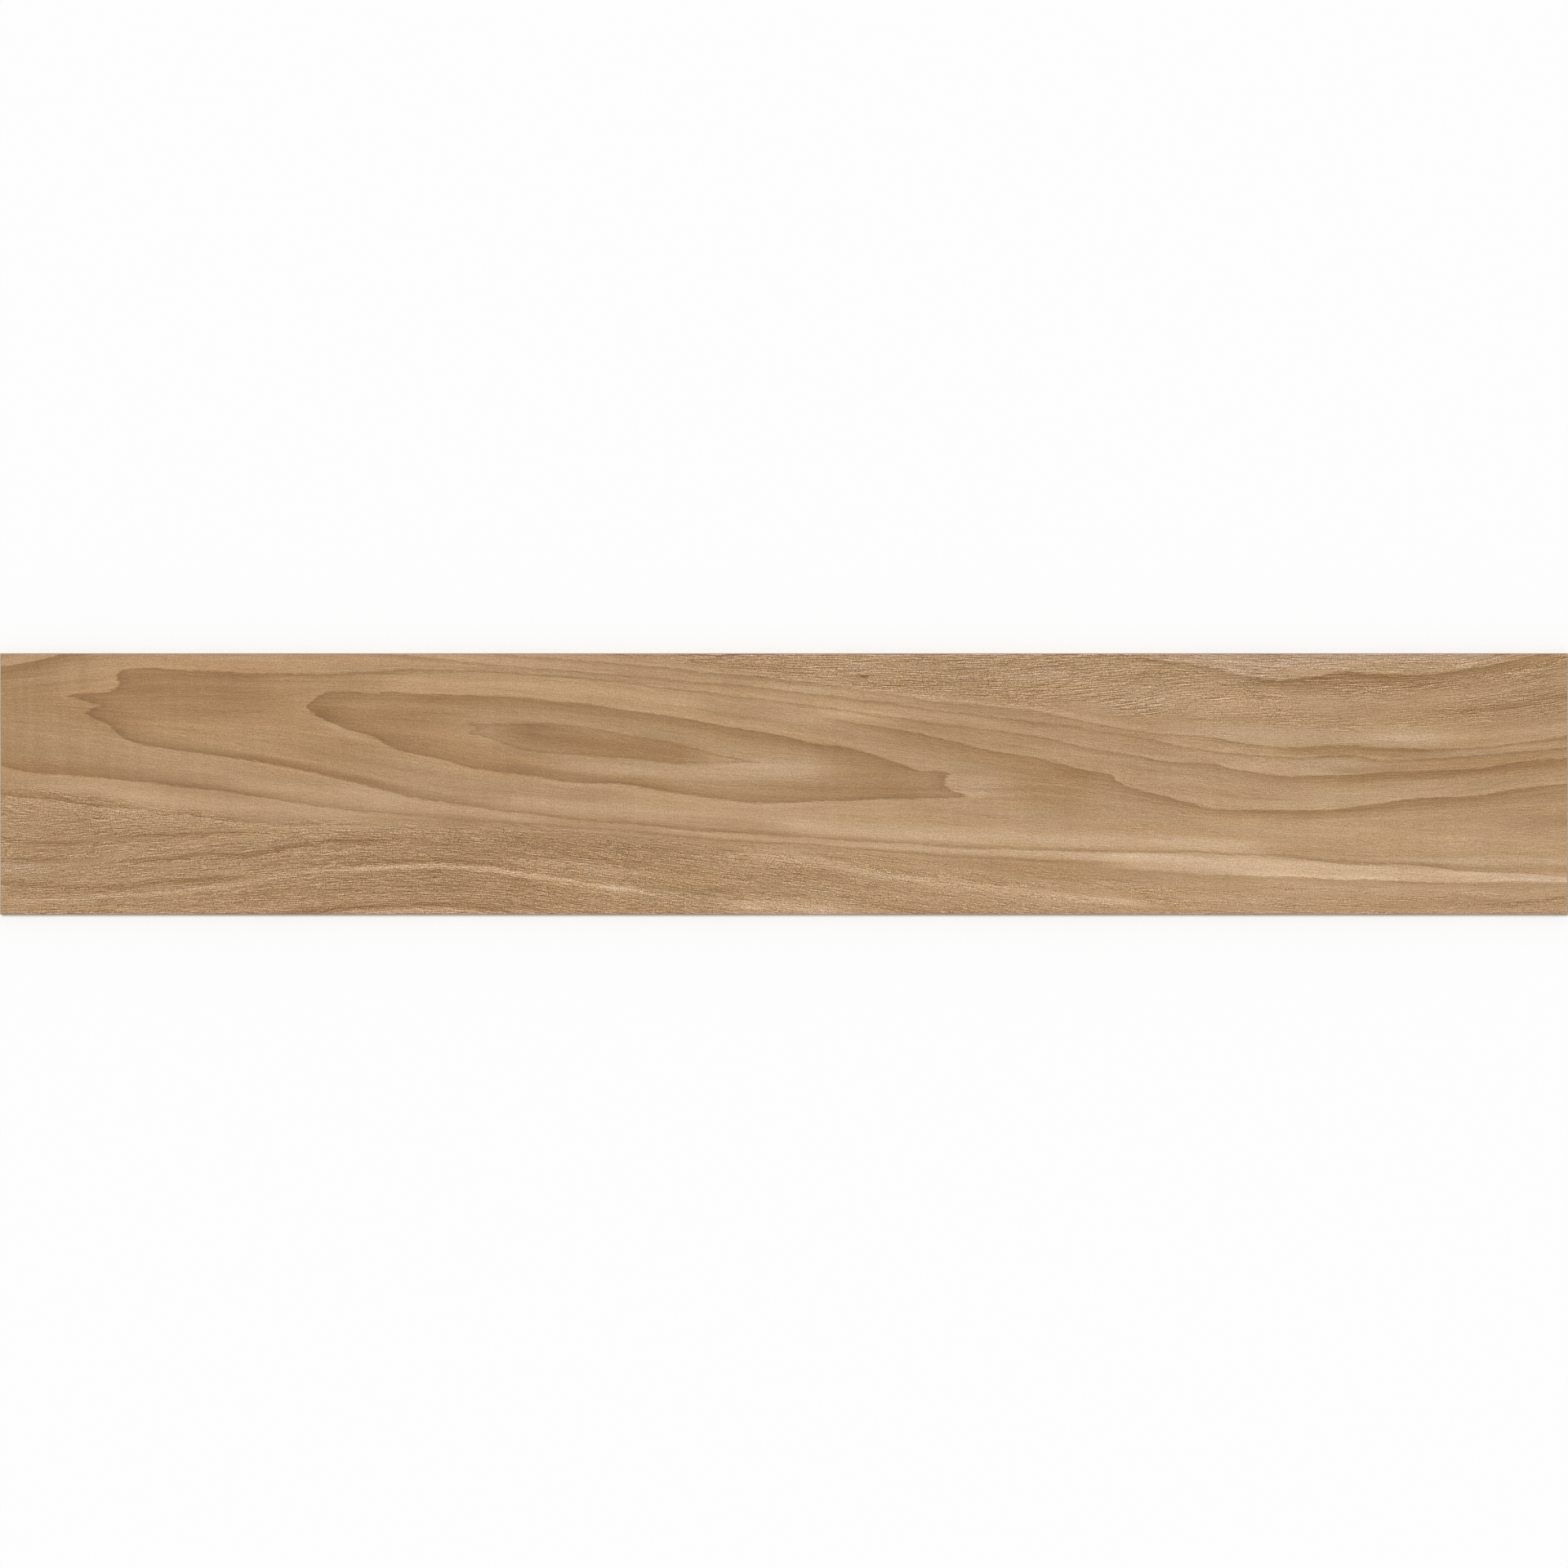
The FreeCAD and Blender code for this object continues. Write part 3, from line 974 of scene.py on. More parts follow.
def new_group(
        name: str, inputs: dict[str, float], outputs: tuple[str, ...]
) -> tuple[bpy.types.NodeTree, Wiring, bpy.types.Node, bpy.types.Node]:
    """Start a shader node group with number sockets.

    Args:
        name: its name.
        inputs: its inputs and their defaults.
        outputs: its outputs.

    Returns:
        The group, the wiring inside it, its input node and its output node.
    """
    group = bpy.data.node_groups.new(name, "ShaderNodeTree")
    for label, value in inputs.items():
        socket = group.interface.new_socket(name=label, in_out="INPUT", socket_type="NodeSocketFloat")
        socket.default_value = value
    for label in outputs:
        group.interface.new_socket(name=label, in_out="OUTPUT", socket_type="NodeSocketFloat")
    wiring = Wiring(group)
    return group, wiring, wiring.node("NodeGroupInput"), wiring.node("NodeGroupOutput")


def marks_group() -> bpy.types.NodeTree:
    """Build the stretched noise that fibre, brush and kiln marks are made of.

    Returns:
        The group.
    """
    kinds_apart, skew, gain = 731.3, 0.31, 4.0
    group, wiring, inlet, outlet = new_group(
        "stretched marks",
        {"Along": 0, "Across": 0, "Length": 10, "Width": 1, "Kind": 0, "Detail": 2},
        ("Mark",))
    given = inlet.outputs
    rows = wiring.total(wiring.maths("DIVIDE", given["Across"], given["Width"]),
                        wiring.product(given["Kind"], kinds_apart))
    columns = wiring.total(wiring.maths("DIVIDE", given["Along"], given["Length"]),
                           wiring.product(rows, skew))
    where = wiring.node("CombineXYZ")
    wiring.feed(where.inputs[0], columns)
    wiring.feed(where.inputs[1], rows)
    noise = wiring.node("TexNoise", noise_dimensions="2D")
    noise.inputs["Scale"].default_value = 1.0
    wiring.feed(noise.inputs["Vector"], where.outputs[0])
    wiring.feed(noise.inputs["Detail"], given["Detail"])
    centred = wiring.maths("SUBTRACT", noise.outputs[0], 0.5)
    wiring.feed(outlet.inputs["Mark"], wiring.product(centred, gain))
    return group


def grit_group() -> bpy.types.NodeTree:
    """Build the fine grains of a fired ceramic: its specks, and how far they stand out.

    Returns:
        The group.
    """
    speck_core, speck_rim = 0.12, 0.42
    group, wiring, inlet, outlet = new_group("ceramic grit", {"Size": 1, "Share": 0.3}, ("Speck", "Relief"))
    place = wiring.node("TexCoord").outputs["Object"]
    scale = wiring.maths("DIVIDE", 1 / MM, inlet.outputs["Size"])
    noise = wiring.node("TexNoise", noise_dimensions="3D")
    wiring.feed(noise.inputs["Vector"], place)
    wiring.feed(noise.inputs["Scale"], scale)
    noise.inputs["Detail"].default_value = 1.0
    cells = wiring.node("TexVoronoi", feature="F1")
    wiring.feed(cells.inputs["Vector"], place)
    wiring.feed(cells.inputs["Scale"], scale)
    chance = wiring.node("SeparateColor")
    wiring.feed(chance.inputs[0], cells.outputs["Color"])
    picked = wiring.maths("LESS_THAN", chance.outputs[0], inlet.outputs["Share"])
    spot = wiring.ramp(cells.outputs["Distance"], speck_core, speck_rim, 1.0, 0.0)
    wiring.feed(outlet.inputs["Speck"], wiring.product(picked, spot))
    wiring.feed(outlet.inputs["Relief"], noise.outputs[0])
    return group


# Marks that the finishes are made of.


@dataclass(frozen=True)
class Marks:
    """One kind of marks that are stretched along the grain.

    Attributes:
        length: their length in mm.
        width: their width in mm.
        kind: number that sets them apart from marks of other kinds.
        detail: how many finer layers they carry.
    """

    length: float
    width: float
    kind: int
    detail: float = 0.0


SPAN_ENDS = Marks(26.0, 1.4, 1)
RING_TEETH = Marks(6.0, 0.7, 2)
RING_WAVES = Marks(38.0, 7.0, 3, 1.0)
FINEST_FIBRE = Marks(7.0, 0.75, 4)
SHORT_FIBRE = Marks(10.0, 1.1, 5)
FURROWS = Marks(22.0, 0.8, 6)
BROAD_STREAKS = Marks(60.0, 2.6, 8, 1.0)
BROADEST_STREAKS = Marks(170.0, 7.0, 9)
SHIMMER = Marks(5.5, 55.0, 10)
THREADS = Marks(36.0, 1.0, 11)
WARM_STREAKS = Marks(90.0, 6.0, 12)
RAGGED_BORDER = Marks(42.0, 3.2, 13)
KILN_CLOUDS = Marks(70.0, 45.0, 21, 4.0)
ROLLER_MARKS = Marks(160.0, 2.2, 22, 3.0)


@dataclass(frozen=True)
class Fibre:
    """Lays stretched marks along the grain.

    Attributes:
        wiring: wiring of the material.
        group: the stretched marks group.
        along: place along the plank in mm.
        across: place across the grain in mm.
        lip_step: how far a lip's painted highlight is from its furrow, as a share of the furrow's width.
    """

    wiring: Wiring
    group: bpy.types.NodeTree
    along: Term
    across: Term
    lip_step: float = 0.7

    def lay(self, marks: Marks) -> bpy.types.NodeSocket:
        """Lay one kind of marks, mostly from -1 to 1."""
        return self.wiring.place(self.group, Along=self.along, Across=self.across, Length=marks.length,
                                 Width=marks.width, Kind=marks.kind, Detail=marks.detail).outputs["Mark"]

    def shaded_furrows(self, marks: Marks) -> bpy.types.NodeSocket:
        """Lay furrows with painted shade in each and a painted highlight on the lip beside it.

        Args:
            marks: the kind of marks that the furrows are.

        Returns:
            The socket with the furrows, above 0 in one and below 0 on its lip.
        """
        # Two offset copies of the marks paint shade in each furrow and a highlight on its lip.
        aside = self.wiring.total(self.across, marks.width * self.lip_step)
        beside = Fibre(self.wiring, self.group, self.along, aside)
        return self.wiring.maths("SUBTRACT", self.lay(marks), beside.lay(marks))


# The two finishes.


@dataclass(frozen=True)
class Ground:
    """What the layers of the wood print are laid on.

    Attributes:
        wiring: wiring of the material.
        along: place along the plank in mm.
        aside: place across the plank in mm.
        long_fibre: fibre that is followed over the whole plank.
        fibre: fibre for short marks, followed over short spans.
        pores: how far the pores are cut open, from 0 to 1.
    """

    wiring: Wiring
    along: Term
    aside: Term
    long_fibre: Fibre
    fibre: Fibre
    pores: Term

    def by_pores(self, tones: Point) -> Term:
        """Go from the tone for closed grain to the one for open grain."""
        return self.wiring.total(self.wiring.product(self.pores, tones[1] - tones[0]), tones[0])


@dataclass(frozen=True)
class PrintedGlaze:
    """Matte wood print under its protective glaze, on the wear face.

    Tones are steps of 1/255. Two values with no further words are for closed grain and for open grain.

    Attributes:
        middle_tone: mean brightness of the print.
        ring_edge: tone and reach in mm of the thin dark edge of a ring.
        ring_crispness: turns a ring's strength into its edge's, which is greatest on middling rings.
        ring_body: tone and reach of the wide shade inside the edge.
        ring_lip: tone and reach of the thin pale line outside the edge.
        ring_rim: tone and reach of the pale early wood outside it.
        ring_strays: how far in mm a ring strays, in small teeth and in long waves.
        dots: share by which the print's own dots darken and brighten it.
        dot_size: size of a dot in mm.
        finest: tone of the finest fibre's painted shade in its furrows and painted highlight on their lips.
        fine: tone of the short fibre over it.
        threads: tone of long thin threads.
        streaks: tone of broad streaks.
        dashes: tone of the painted shade in the cut pores, and of the painted highlight between them.
        combing: strength of the dashes in the lower half of the face, and in the upper half.
        curl: tone of the shimmer across the grain.
        left_curl: how much stronger the shimmer is at the left end.
        warm_streaks: how much the print's warmth changes from streak to streak.
        golden: tint of the warmest wood.
        greyish: tint of the coolest wood.
        sheen: light that the glaze adds over the print.
        roughness: roughness of the matte glaze.
        rougher: how much rougher the short fibre and the cut pores are.
        bump_depth: depth of the finest relief.
        fibre_relief: share of it that the finest fibre takes.
        pore_relief: share that the cut pores take.
        dot_relief: share that the print's dots take.
    """

    middle_tone: float = 149.0
    ring_edge: Point = (19.0, 1.5)
    ring_crispness: float = 2.4
    ring_body: Point = (16.0, 7.5)
    ring_lip: Point = (5.0, 1.6)
    ring_rim: Point = (10.0, 6.5)
    ring_strays: Point = (0.4, 0.7)
    dots: Point = (0.32, 0.78)
    dot_size: float = 0.8
    finest: Point = (4.2, 16.0)
    fine: Point = (2.0, 6.0)
    threads: Point = (2.0, 7.0)
    streaks: Point = (3.5, 3.5)
    dashes: Point = (-26.0, 22.0)
    combing: Point = (0.7, 1.25)
    curl: float = 1.1
    left_curl: float = 2.2
    warm_streaks: float = 0.25
    golden: Colour = (1.04, 0.99, 0.91, 1.0)
    greyish: Colour = (0.965, 1.0, 1.08, 1.0)
    sheen: float = 0.025
    roughness: float = 0.56
    rougher: Point = (0.03, 0.06)
    bump_depth: float = 0.12 * MM
    fibre_relief: Point = (-0.05, -0.25)
    pore_relief: float = -0.6
    dot_relief: float = 0.3

    def shades(self) -> tuple[tuple[float, Colour], ...]:
        """List the print's colours.

        Returns:
            The colours in order, each with the brightness that it stands at.
        """
        seen = (
            (106, linear(131, 97, 66)),
            (118, linear(143, 111, 78)),
            (130, linear(155, 121, 87)),
            (143, linear(168, 135, 100)),
            (151, linear(178, 144, 109)),
            (160, linear(187, 154, 119)),
            (174, linear(200, 168, 134)),
            (186, linear(210, 180, 148)),
            (200, linear(222, 196, 168)),
        )
        return tuple((tone, (*[max(part - self.sheen, 0.0) for part in colour[:3]], 1.0))
                     for tone, colour in seen)

    def short_fibre(self, long_fibre: Fibre) -> Fibre:
        """Choose between the two short-range coordinates, each away from the ends of its spans.

        Args:
            long_fibre: the fibre that is followed over the whole plank.

        Returns:
            The fibre for short marks.
        """
        wiring, ragged_ends = long_fibre.wiring, 0.12
        span = wiring.maths("DIVIDE", long_fibre.along, WoodFigure.fibre_span)
        off_line = wiring.maths("PINGPONG", span, 0.5)
        ragged = wiring.product(long_fibre.lay(SPAN_ENDS), ragged_ends)
        even = wiring.maths("LESS_THAN", wiring.total(off_line, ragged), 0.25)
        odd_place = wiring.trait(Trait.ODD_FIBRE)
        step = wiring.maths("SUBTRACT", wiring.trait(Trait.EVEN_FIBRE), odd_place)
        across = wiring.total(wiring.product(step, even), odd_place)
        return Fibre(wiring, long_fibre.group, long_fibre.along, across)

    def prepare(self, wiring: Wiring, marks: bpy.types.NodeTree) -> Ground:
        """Lay out the fibre and the ragged zones of open grain.

        Args:
            wiring: wiring of the material.
            marks: the stretched marks group.

        Returns:
            What the layers of the print are laid on.
        """
        raggedness = 1.2
        along, aside = wiring.place_in_mm("XY")
        long_fibre = Fibre(wiring, marks, along, wiring.trait(Trait.GRAIN))
        open_grain = wiring.trait(Trait.PORES)
        ragged = wiring.product(long_fibre.lay(RAGGED_BORDER),
                                wiring.maths("SUBTRACT", raggedness, open_grain))
        pores = wiring.maths("MULTIPLY", open_grain, wiring.total(ragged, 1.0), clamp=True)
        return Ground(wiring, along, aside, long_fibre, self.short_fibre(long_fibre), pores)

    def ring_shade(self, ground: Ground) -> Term:
        """Shade the growth rings: a thin dark edge, a soft body inside it and a pale rim outside.

        Args:
            ground: what the layers are laid on.

        Returns:
            The rings' tone.
        """
        wiring = ground.wiring
        shade_holds, shade_ends = 0.25, 0.5
        edge_softness, lip_softness = 0.5, 1.0
        pitch = wiring.trait(Trait.PITCH)
        teeth, waves = self.ring_strays
        strays = wiring.total(wiring.product(ground.fibre.lay(RING_TEETH), teeth),
                              wiring.product(ground.long_fibre.lay(RING_WAVES), waves))
        ring = wiring.maths("ADD", wiring.trait(Trait.RING), wiring.maths("DIVIDE", strays, pitch))
        part = wiring.maths("FRACT", ring)
        rest = wiring.maths("SUBTRACT", 1.0, part)
        inside = wiring.product(rest, pitch)
        outside = wiring.product(part, pitch)
        window = wiring.ramp(wiring.maths("MINIMUM", part, rest), shade_holds, shade_ends, 1.0, 0.0)
        depth = wiring.trait(Trait.DEPTH)
        clear = wiring.maths("SINE", wiring.product(depth, self.ring_crispness))
        edge, body, lip, rim = [
            wiring.product(wiring.decay(distance, reach), tone, strength)
            for distance, (tone, reach), strength in (
                (inside, self.ring_edge, clear), (inside, self.ring_body, depth),
                (outside, self.ring_lip, clear), (outside, self.ring_rim, depth))]
        dark = wiring.product(wiring.total(edge, body), wiring.ramp(inside, 0.0, edge_softness))
        pale = wiring.product(wiring.total(lip, rim), wiring.ramp(outside, 0.0, lip_softness))
        return wiring.product(window, wiring.maths("SUBTRACT", pale, dark))

    def furrows(self, ground: Ground) -> tuple[Term, Term]:
        """Cut the open pores with painted shade, and paint a highlight on the fibre between them.

        Args:
            ground: what the layers are laid on.

        Returns:
            How far each place is cut and painted in shade, and how much painted highlight its lip gets.
        """
        wiring = ground.wiring
        begins, full = 0.4, 1.3
        half_band = 20.0
        furrow = ground.fibre.shaded_furrows(FURROWS)
        combed = wiring.product(
            ground.pores, wiring.ramp(ground.aside, -half_band, half_band, *self.combing))
        # Painted shade in each cut pore, and a painted highlight on the lip beside it.
        cut = wiring.product(wiring.ramp(furrow, begins, full), combed)
        lip_highlight = wiring.product(wiring.ramp(furrow, -full, -begins, 1.0, 0.0), combed)
        return cut, lip_highlight

    def streaky(self, ground: Ground) -> Term:
        """Add up the broad streaks and the shimmer across the grain.

        Args:
            ground: what the layers are laid on.

        Returns:
            Their tone.
        """
        wiring = ground.wiring
        broadest_share, plank_end, curl_ends = 0.8, -600.0, -400.0
        broad = wiring.total(
            ground.long_fibre.lay(BROAD_STREAKS),
            wiring.product(ground.long_fibre.lay(BROADEST_STREAKS), broadest_share))
        closed = wiring.maths("SUBTRACT", 1.0, ground.pores)
        shimmer = wiring.product(
            ground.fibre.lay(SHIMMER), closed,
            wiring.ramp(ground.along, plank_end, curl_ends, self.left_curl, 1.0))
        return wiring.total(wiring.product(broad, ground.by_pores(self.streaks)),
                            wiring.product(shimmer, self.curl))

    def print_colour(self, ground: Ground, shade: Term, grain: Term) -> bpy.types.NodeSocket:
        """Turn the print's tone into its colour, with its dots and its warmer and cooler wood.

        Args:
            ground: what the layers are laid on.
            shade: tone of the print.
            grain: the noise that the dots come from, about 0.5.

        Returns:
            The socket with the colour.
        """
        wiring = ground.wiring
        gain, darkest = 4.0, 0.2
        dots = wiring.product(wiring.maths("SUBTRACT", grain, 0.5), gain, ground.by_pores(self.dots))
        dotted = wiring.tint(1.0, wiring.colour_ramp(shade, self.shades()),
                             wiring.maths("MAXIMUM", wiring.total(dots, 1.0), darkest), "MULTIPLY")
        warmth = wiring.total(wiring.trait(Trait.WARMTH),
                              wiring.product(ground.long_fibre.lay(WARM_STREAKS), self.warm_streaks))
        warm = wiring.maths("MULTIPLY", warmth, 1.0, clamp=True)
        cool = wiring.maths("MULTIPLY", warmth, -1.0, clamp=True)
        warmed = wiring.tint(warm, dotted, self.golden, "MULTIPLY")
        return wiring.tint(cool, warmed, self.greyish, "MULTIPLY")

    def build(self, marks: bpy.types.NodeTree, grit: bpy.types.NodeTree) -> bpy.types.Material:
        """Make the material.

        Args:
            marks: the stretched marks group.
            grit: the ceramic grit group.

        Returns:
            The material.
        """
        material, wiring = new_material("printed_glaze")
        ground = self.prepare(wiring, marks)
        grain = wiring.place(grit, Size=self.dot_size).outputs["Relief"]
        # The finest fibre's furrows and lips: painted shade and highlight in the tone, and the bump of the
        # relief.
        crisp = ground.fibre.shaded_furrows(FINEST_FIBRE)
        short = ground.fibre.lay(SHORT_FIBRE)
        # The cut gives the pores' bump and painted shade, and the lip beside each gets a painted highlight.
        cut, lip_highlight = self.furrows(ground)
        shade = wiring.total(
            self.ring_shade(ground), wiring.trait(Trait.TONE), self.middle_tone,
            wiring.product(crisp, ground.by_pores(self.finest)),
            wiring.product(short, ground.by_pores(self.fine)),
            wiring.product(ground.fibre.lay(THREADS), ground.by_pores(self.threads)),
            self.streaky(ground),
            wiring.product(cut, self.dashes[0]), wiring.product(lip_highlight, self.dashes[1]))
        relief = wiring.total(wiring.product(crisp, ground.by_pores(self.fibre_relief)),
                              wiring.product(cut, self.pore_relief),
                              wiring.product(grain, self.dot_relief))
        roughness = wiring.total(wiring.product(short, self.rougher[0]),
                                 wiring.product(ground.pores, self.rougher[1]), self.roughness)
        wiring.gloss(self.print_colour(ground, shade, grain), roughness, relief, strength=0.5,
                     depth=self.bump_depth, specular=0.25)
        return material


@dataclass(frozen=True)
class FiredBody:
    """Bare porcelain of the ground edges and the pressed back.

    Attributes:
        base: colour of the body.
        dark: colour of its darker grains.
        wash: colour of the release powder that the kiln's rollers leave on the back.
        fine_grit: size in mm and share of the fine grains.
        coarse_grit: size in mm and share of the coarse grains.
        specks: how dark the fine grains are, and the coarse ones.
        mottling: how dark the kiln's clouds are.
        powder: how thick the powder lies at most.
        powder_height: heights in mm between which the powder on the back ends.
        roughness: how rough the bare body is.
        bump_depth: depth of the finest relief.
    """

    base: Colour = linear(168, 151, 129)
    dark: Colour = linear(116, 99, 80)
    wash: Colour = linear(206, 198, 185)
    fine_grit: Point = (0.9, 0.28)
    coarse_grit: Point = (3.5, 0.10)
    specks: Point = (0.55, 0.5)
    mottling: float = 0.35
    powder: float = 0.75
    powder_height: Point = (0.05, 0.4)
    roughness: float = 0.82
    bump_depth: float = 0.2 * MM

    def build(self, marks: bpy.types.NodeTree, grit: bpy.types.NodeTree) -> bpy.types.Material:
        """Make the material.

        Args:
            marks: the stretched marks group.
            grit: the ceramic grit group.

        Returns:
            The material.
        """
        cloud_span, powder_from = 0.9, -0.2
        coarse_relief, roller_relief, grain_roughness = 0.8, 0.15, 0.1
        material, wiring = new_material("fired_body")
        along, across, height = wiring.place_in_mm("XYZ")
        fine, coarse = [wiring.place(grit, Size=size, Share=share).outputs
                        for size, share in (self.fine_grit, self.coarse_grit)]
        plain = Fibre(wiring, marks, along, across)
        clouding = plain.lay(KILN_CLOUDS)
        rollers = plain.lay(ROLLER_MARKS)
        clouds = wiring.ramp(clouding, -cloud_span, cloud_span, 0.0, self.mottling)
        mottled = wiring.tint(clouds, self.base, self.dark)
        speckled = wiring.tint(wiring.product(fine["Speck"], self.specks[0]), mottled, self.dark)
        spotted = wiring.tint(wiring.product(coarse["Speck"], self.specks[1]), speckled, self.dark)
        on_back = wiring.ramp(height, *self.powder_height, 1.0, 0.0)
        patchy = wiring.ramp(wiring.total(rollers, clouding), powder_from, cloud_span, 0.0, self.powder)
        powdered = wiring.tint(wiring.product(on_back, patchy), spotted, self.wash)
        relief = wiring.total(fine["Relief"], wiring.product(coarse["Relief"], coarse_relief),
                              wiring.product(rollers, on_back, roller_relief))
        roughness = wiring.total(wiring.product(fine["Relief"], grain_roughness),
                                 self.roughness - grain_roughness / 2)
        wiring.gloss(powdered, roughness, relief, strength=0.6, depth=self.bump_depth, specular=0.3)
        return material


# The plank.


def settle(shape: bmesh.types.BMesh, name: str) -> bpy.types.Object:
    """Turn a finished bmesh into an object of the scene.

    Args:
        shape: the bmesh, which is freed.
        name: name of the object and its mesh.

    Returns:
        The object.
    """
    mesh = bpy.data.meshes.new(name)
    shape.to_mesh(mesh)
    shape.free()
    made = bpy.data.objects.new(name, mesh)
    bpy.context.scene.collection.objects.link(made)
    return made


def put_in_order(shape: bmesh.types.BMesh) -> None:
    """Order points and faces by their place, because the operators order them anew in each run.

    Args:
        shape: the bmesh.
    """
    points = [vert.co[:] for vert in shape.verts]
    centres = [face.calc_center_median()[:] for face in shape.faces]
    for parts, places in ((shape.verts, points), (shape.faces, centres)):
        steps = np.rint(np.array(places) / SAME_POINT)
        ranks = np.empty(len(steps))
        ranks[np.lexsort(steps.T)] = np.arange(len(steps))
        parts.index_update()
        parts.sort(key=lambda part: ranks[part.index])
        parts.index_update()


def read(items: bpy.types.bpy_prop_collection, name: str, width: int = 1,
         kind: type = np.float32) -> np.ndarray:
    """Read one property of many elements of a mesh.

    Args:
        items: the vertices, corners or faces.
        name: the property.
        width: how many numbers it has.
        kind: what the numbers are.

    Returns:
        A row for each element, or one number for each where the width is 1.
    """
    values = np.empty(len(items) * width, kind)
    items.foreach_get(name, values)
    return values if width == 1 else values.reshape(-1, width)


@dataclass(frozen=True)
class Strip:
    """Place of one side of the plank on the map that its looks can be baked through.

    Attributes:
        left: left edge on the map.
        low: lower edge.
        right: right edge.
        high: upper edge.
    """

    left: float
    low: float
    right: float
    high: float

    def lay(self, share_x: np.ndarray, share_y: np.ndarray) -> np.ndarray:
        """Place points on the map.

        Args:
            share_x: their share of the way across the side.
            share_y: their share of the way up the side.

        Returns:
            Their places on the map, one row each.
        """
        u = self.left + np.clip(share_x, 0, 1) * (self.right - self.left)
        v = self.low + np.clip(share_y, 0, 1) * (self.high - self.low)
        return np.column_stack([u, v])


@dataclass(frozen=True)
class Plank:
    """The whole tile: printed wear face, arris, ground edges and keyed back, as one closed shell.

    Attributes:
        columns: faces along the wear face.
        rows: faces across the wear face.
        arris: width of the bevel round the wear face.
        foot_break: width of the small break along the lower rim.
        key_channel: mouth width of a keying channel.
        key_rib: width of the rib between two channels.
        key_border: least width of the plain border.
        key_depth: depth of a channel.
        key_draft: slope of a channel's sides, in degrees.
        key_round: size of the soft edge of a channel's mouth.
        sharp_turn: least turn in degrees at an edge that stays sharp.
        relief: greatest depth of the wood structure in the wear face.
        mean_depth: mean depth of the structure, as a share of the relief.
        groove: how much deeper it is along a ring, as a share, and over what width in mm.
        long_swell: its long rise and fall, and the share that they take.
        brushed: its brushed fibre, with its share on closed grain and the rest on open grain.
        pitted: its cut pores, with their share on closed grain and the rest on open grain.
    """

    columns: int = 480
    rows: int = 180
    arris: float = 0.6 * MM
    foot_break: float = 0.3 * MM
    key_channel: float = 12.0 * MM
    key_rib: float = 4.0 * MM
    key_border: float = 13.0 * MM
    key_depth: float = 0.7 * MM
    key_draft: float = 30.0
    key_round: float = 0.3 * MM
    sharp_turn: float = 20.0
    relief: float = 0.22 * MM
    mean_depth: float = 0.36
    groove: Point = (0.16, 3.0)
    long_swell: tuple[Swell, float] = (Swell(140, 13, (40, 40), 3), 0.14)
    brushed: tuple[Swell, float, float] = (Swell(45, 4.4, (40, 80), 5), 0.10, 0.08)
    pitted: tuple[Swell, float, float] = (Swell(14, 2.6, (60, 90), 7), 0.05, 0.16)

    def build(self, name: str, glaze: bpy.types.Material, body: bpy.types.Material) -> bpy.types.Object:
        """Make the plank.

        Args:
            name: name of the piece.
            glaze: finish of the wear face.
            body: finish of the rest.

        Returns:
            The finished piece.
        """
        low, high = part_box(TILE_NODE)
        size, middle = high - low, (high + low) / 2
        shell = bmesh.new()
        self.raise_shell(shell, size, middle, high.z)
        self.press_back(shell, size, middle, low.z)
        bmesh.ops.recalc_face_normals(shell, faces=shell.faces[:])
        put_in_order(shell)
        for edge in shell.edges:
            edge.smooth = edge.calc_face_angle(0.0) < math.radians(self.sharp_turn)
        for face in shell.faces:
            face.smooth = True
        plank = settle(shell, name)
        plank.data.materials.append(glaze)
        plank.data.materials.append(body)
        self.carve_figure(plank.data, size, middle, high.z)
        self.lay_map(plank.data, low, size)
        return plank

    def raise_shell(self, shell: bmesh.types.BMesh, size: Vector, middle: Vector, top: float) -> None:
        """Make the wear face as a fine grid and extrude its rim down to the foot.

        Args:
            shell: the mesh to build in.
            size: length, width and thickness.
            middle: middle of the plank.
            top: height of the wear face.
        """
        length, width = size.x - 2 * self.arris, size.y - 2 * self.arris
        bmesh.ops.create_grid(shell, x_segments=self.columns, y_segments=self.rows, size=0.5)
        span = max(vert.co.x for vert in shell.verts) * 2
        bmesh.ops.scale(shell, vec=(length / span, width / span, 1), verts=shell.verts[:])
        bmesh.ops.translate(shell, vec=(middle.x, middle.y, top), verts=shell.verts[:])
        for face in shell.faces:
            face.material_index = Finish.PRINTED_GLAZE
        rim = [edge for edge in shell.edges if edge.is_boundary]
        wall = size.z - self.arris - self.foot_break
        steps = ((self.arris, self.arris), (0.0, wall), (-self.foot_break, self.foot_break))
        for outward, down in steps:
            made = bmesh.ops.extrude_edge_only(shell, edges=rim)["geom"]
            verts = [item for item in made if isinstance(item, bmesh.types.BMVert)]
            for item in made:
                if isinstance(item, bmesh.types.BMFace):
                    item.material_index = Finish.FIRED_BODY
            grow = ((length + 2 * outward) / length, (width + 2 * outward) / width, 1)
            bmesh.ops.translate(shell, vec=(-middle.x, -middle.y, -down), verts=verts)
            bmesh.ops.scale(shell, vec=grow, verts=verts, space=self.level_with(verts))
            bmesh.ops.translate(shell, vec=(middle.x, middle.y, 0), verts=verts)
            length, width = length + 2 * outward, width + 2 * outward
            rim = [item for item in made if isinstance(item, bmesh.types.BMEdge) and item.is_boundary]
        for face in bmesh.ops.contextual_create(shell, geom=rim)["faces"]:
            face.material_index = Finish.FIRED_BODY

    def level_with(self, verts: list[bmesh.types.BMVert]) -> Matrix:
        """Give the space in which a flat scale leaves the height of these points alone."""
        return Matrix.Translation((0, 0, -verts[0].co.z))

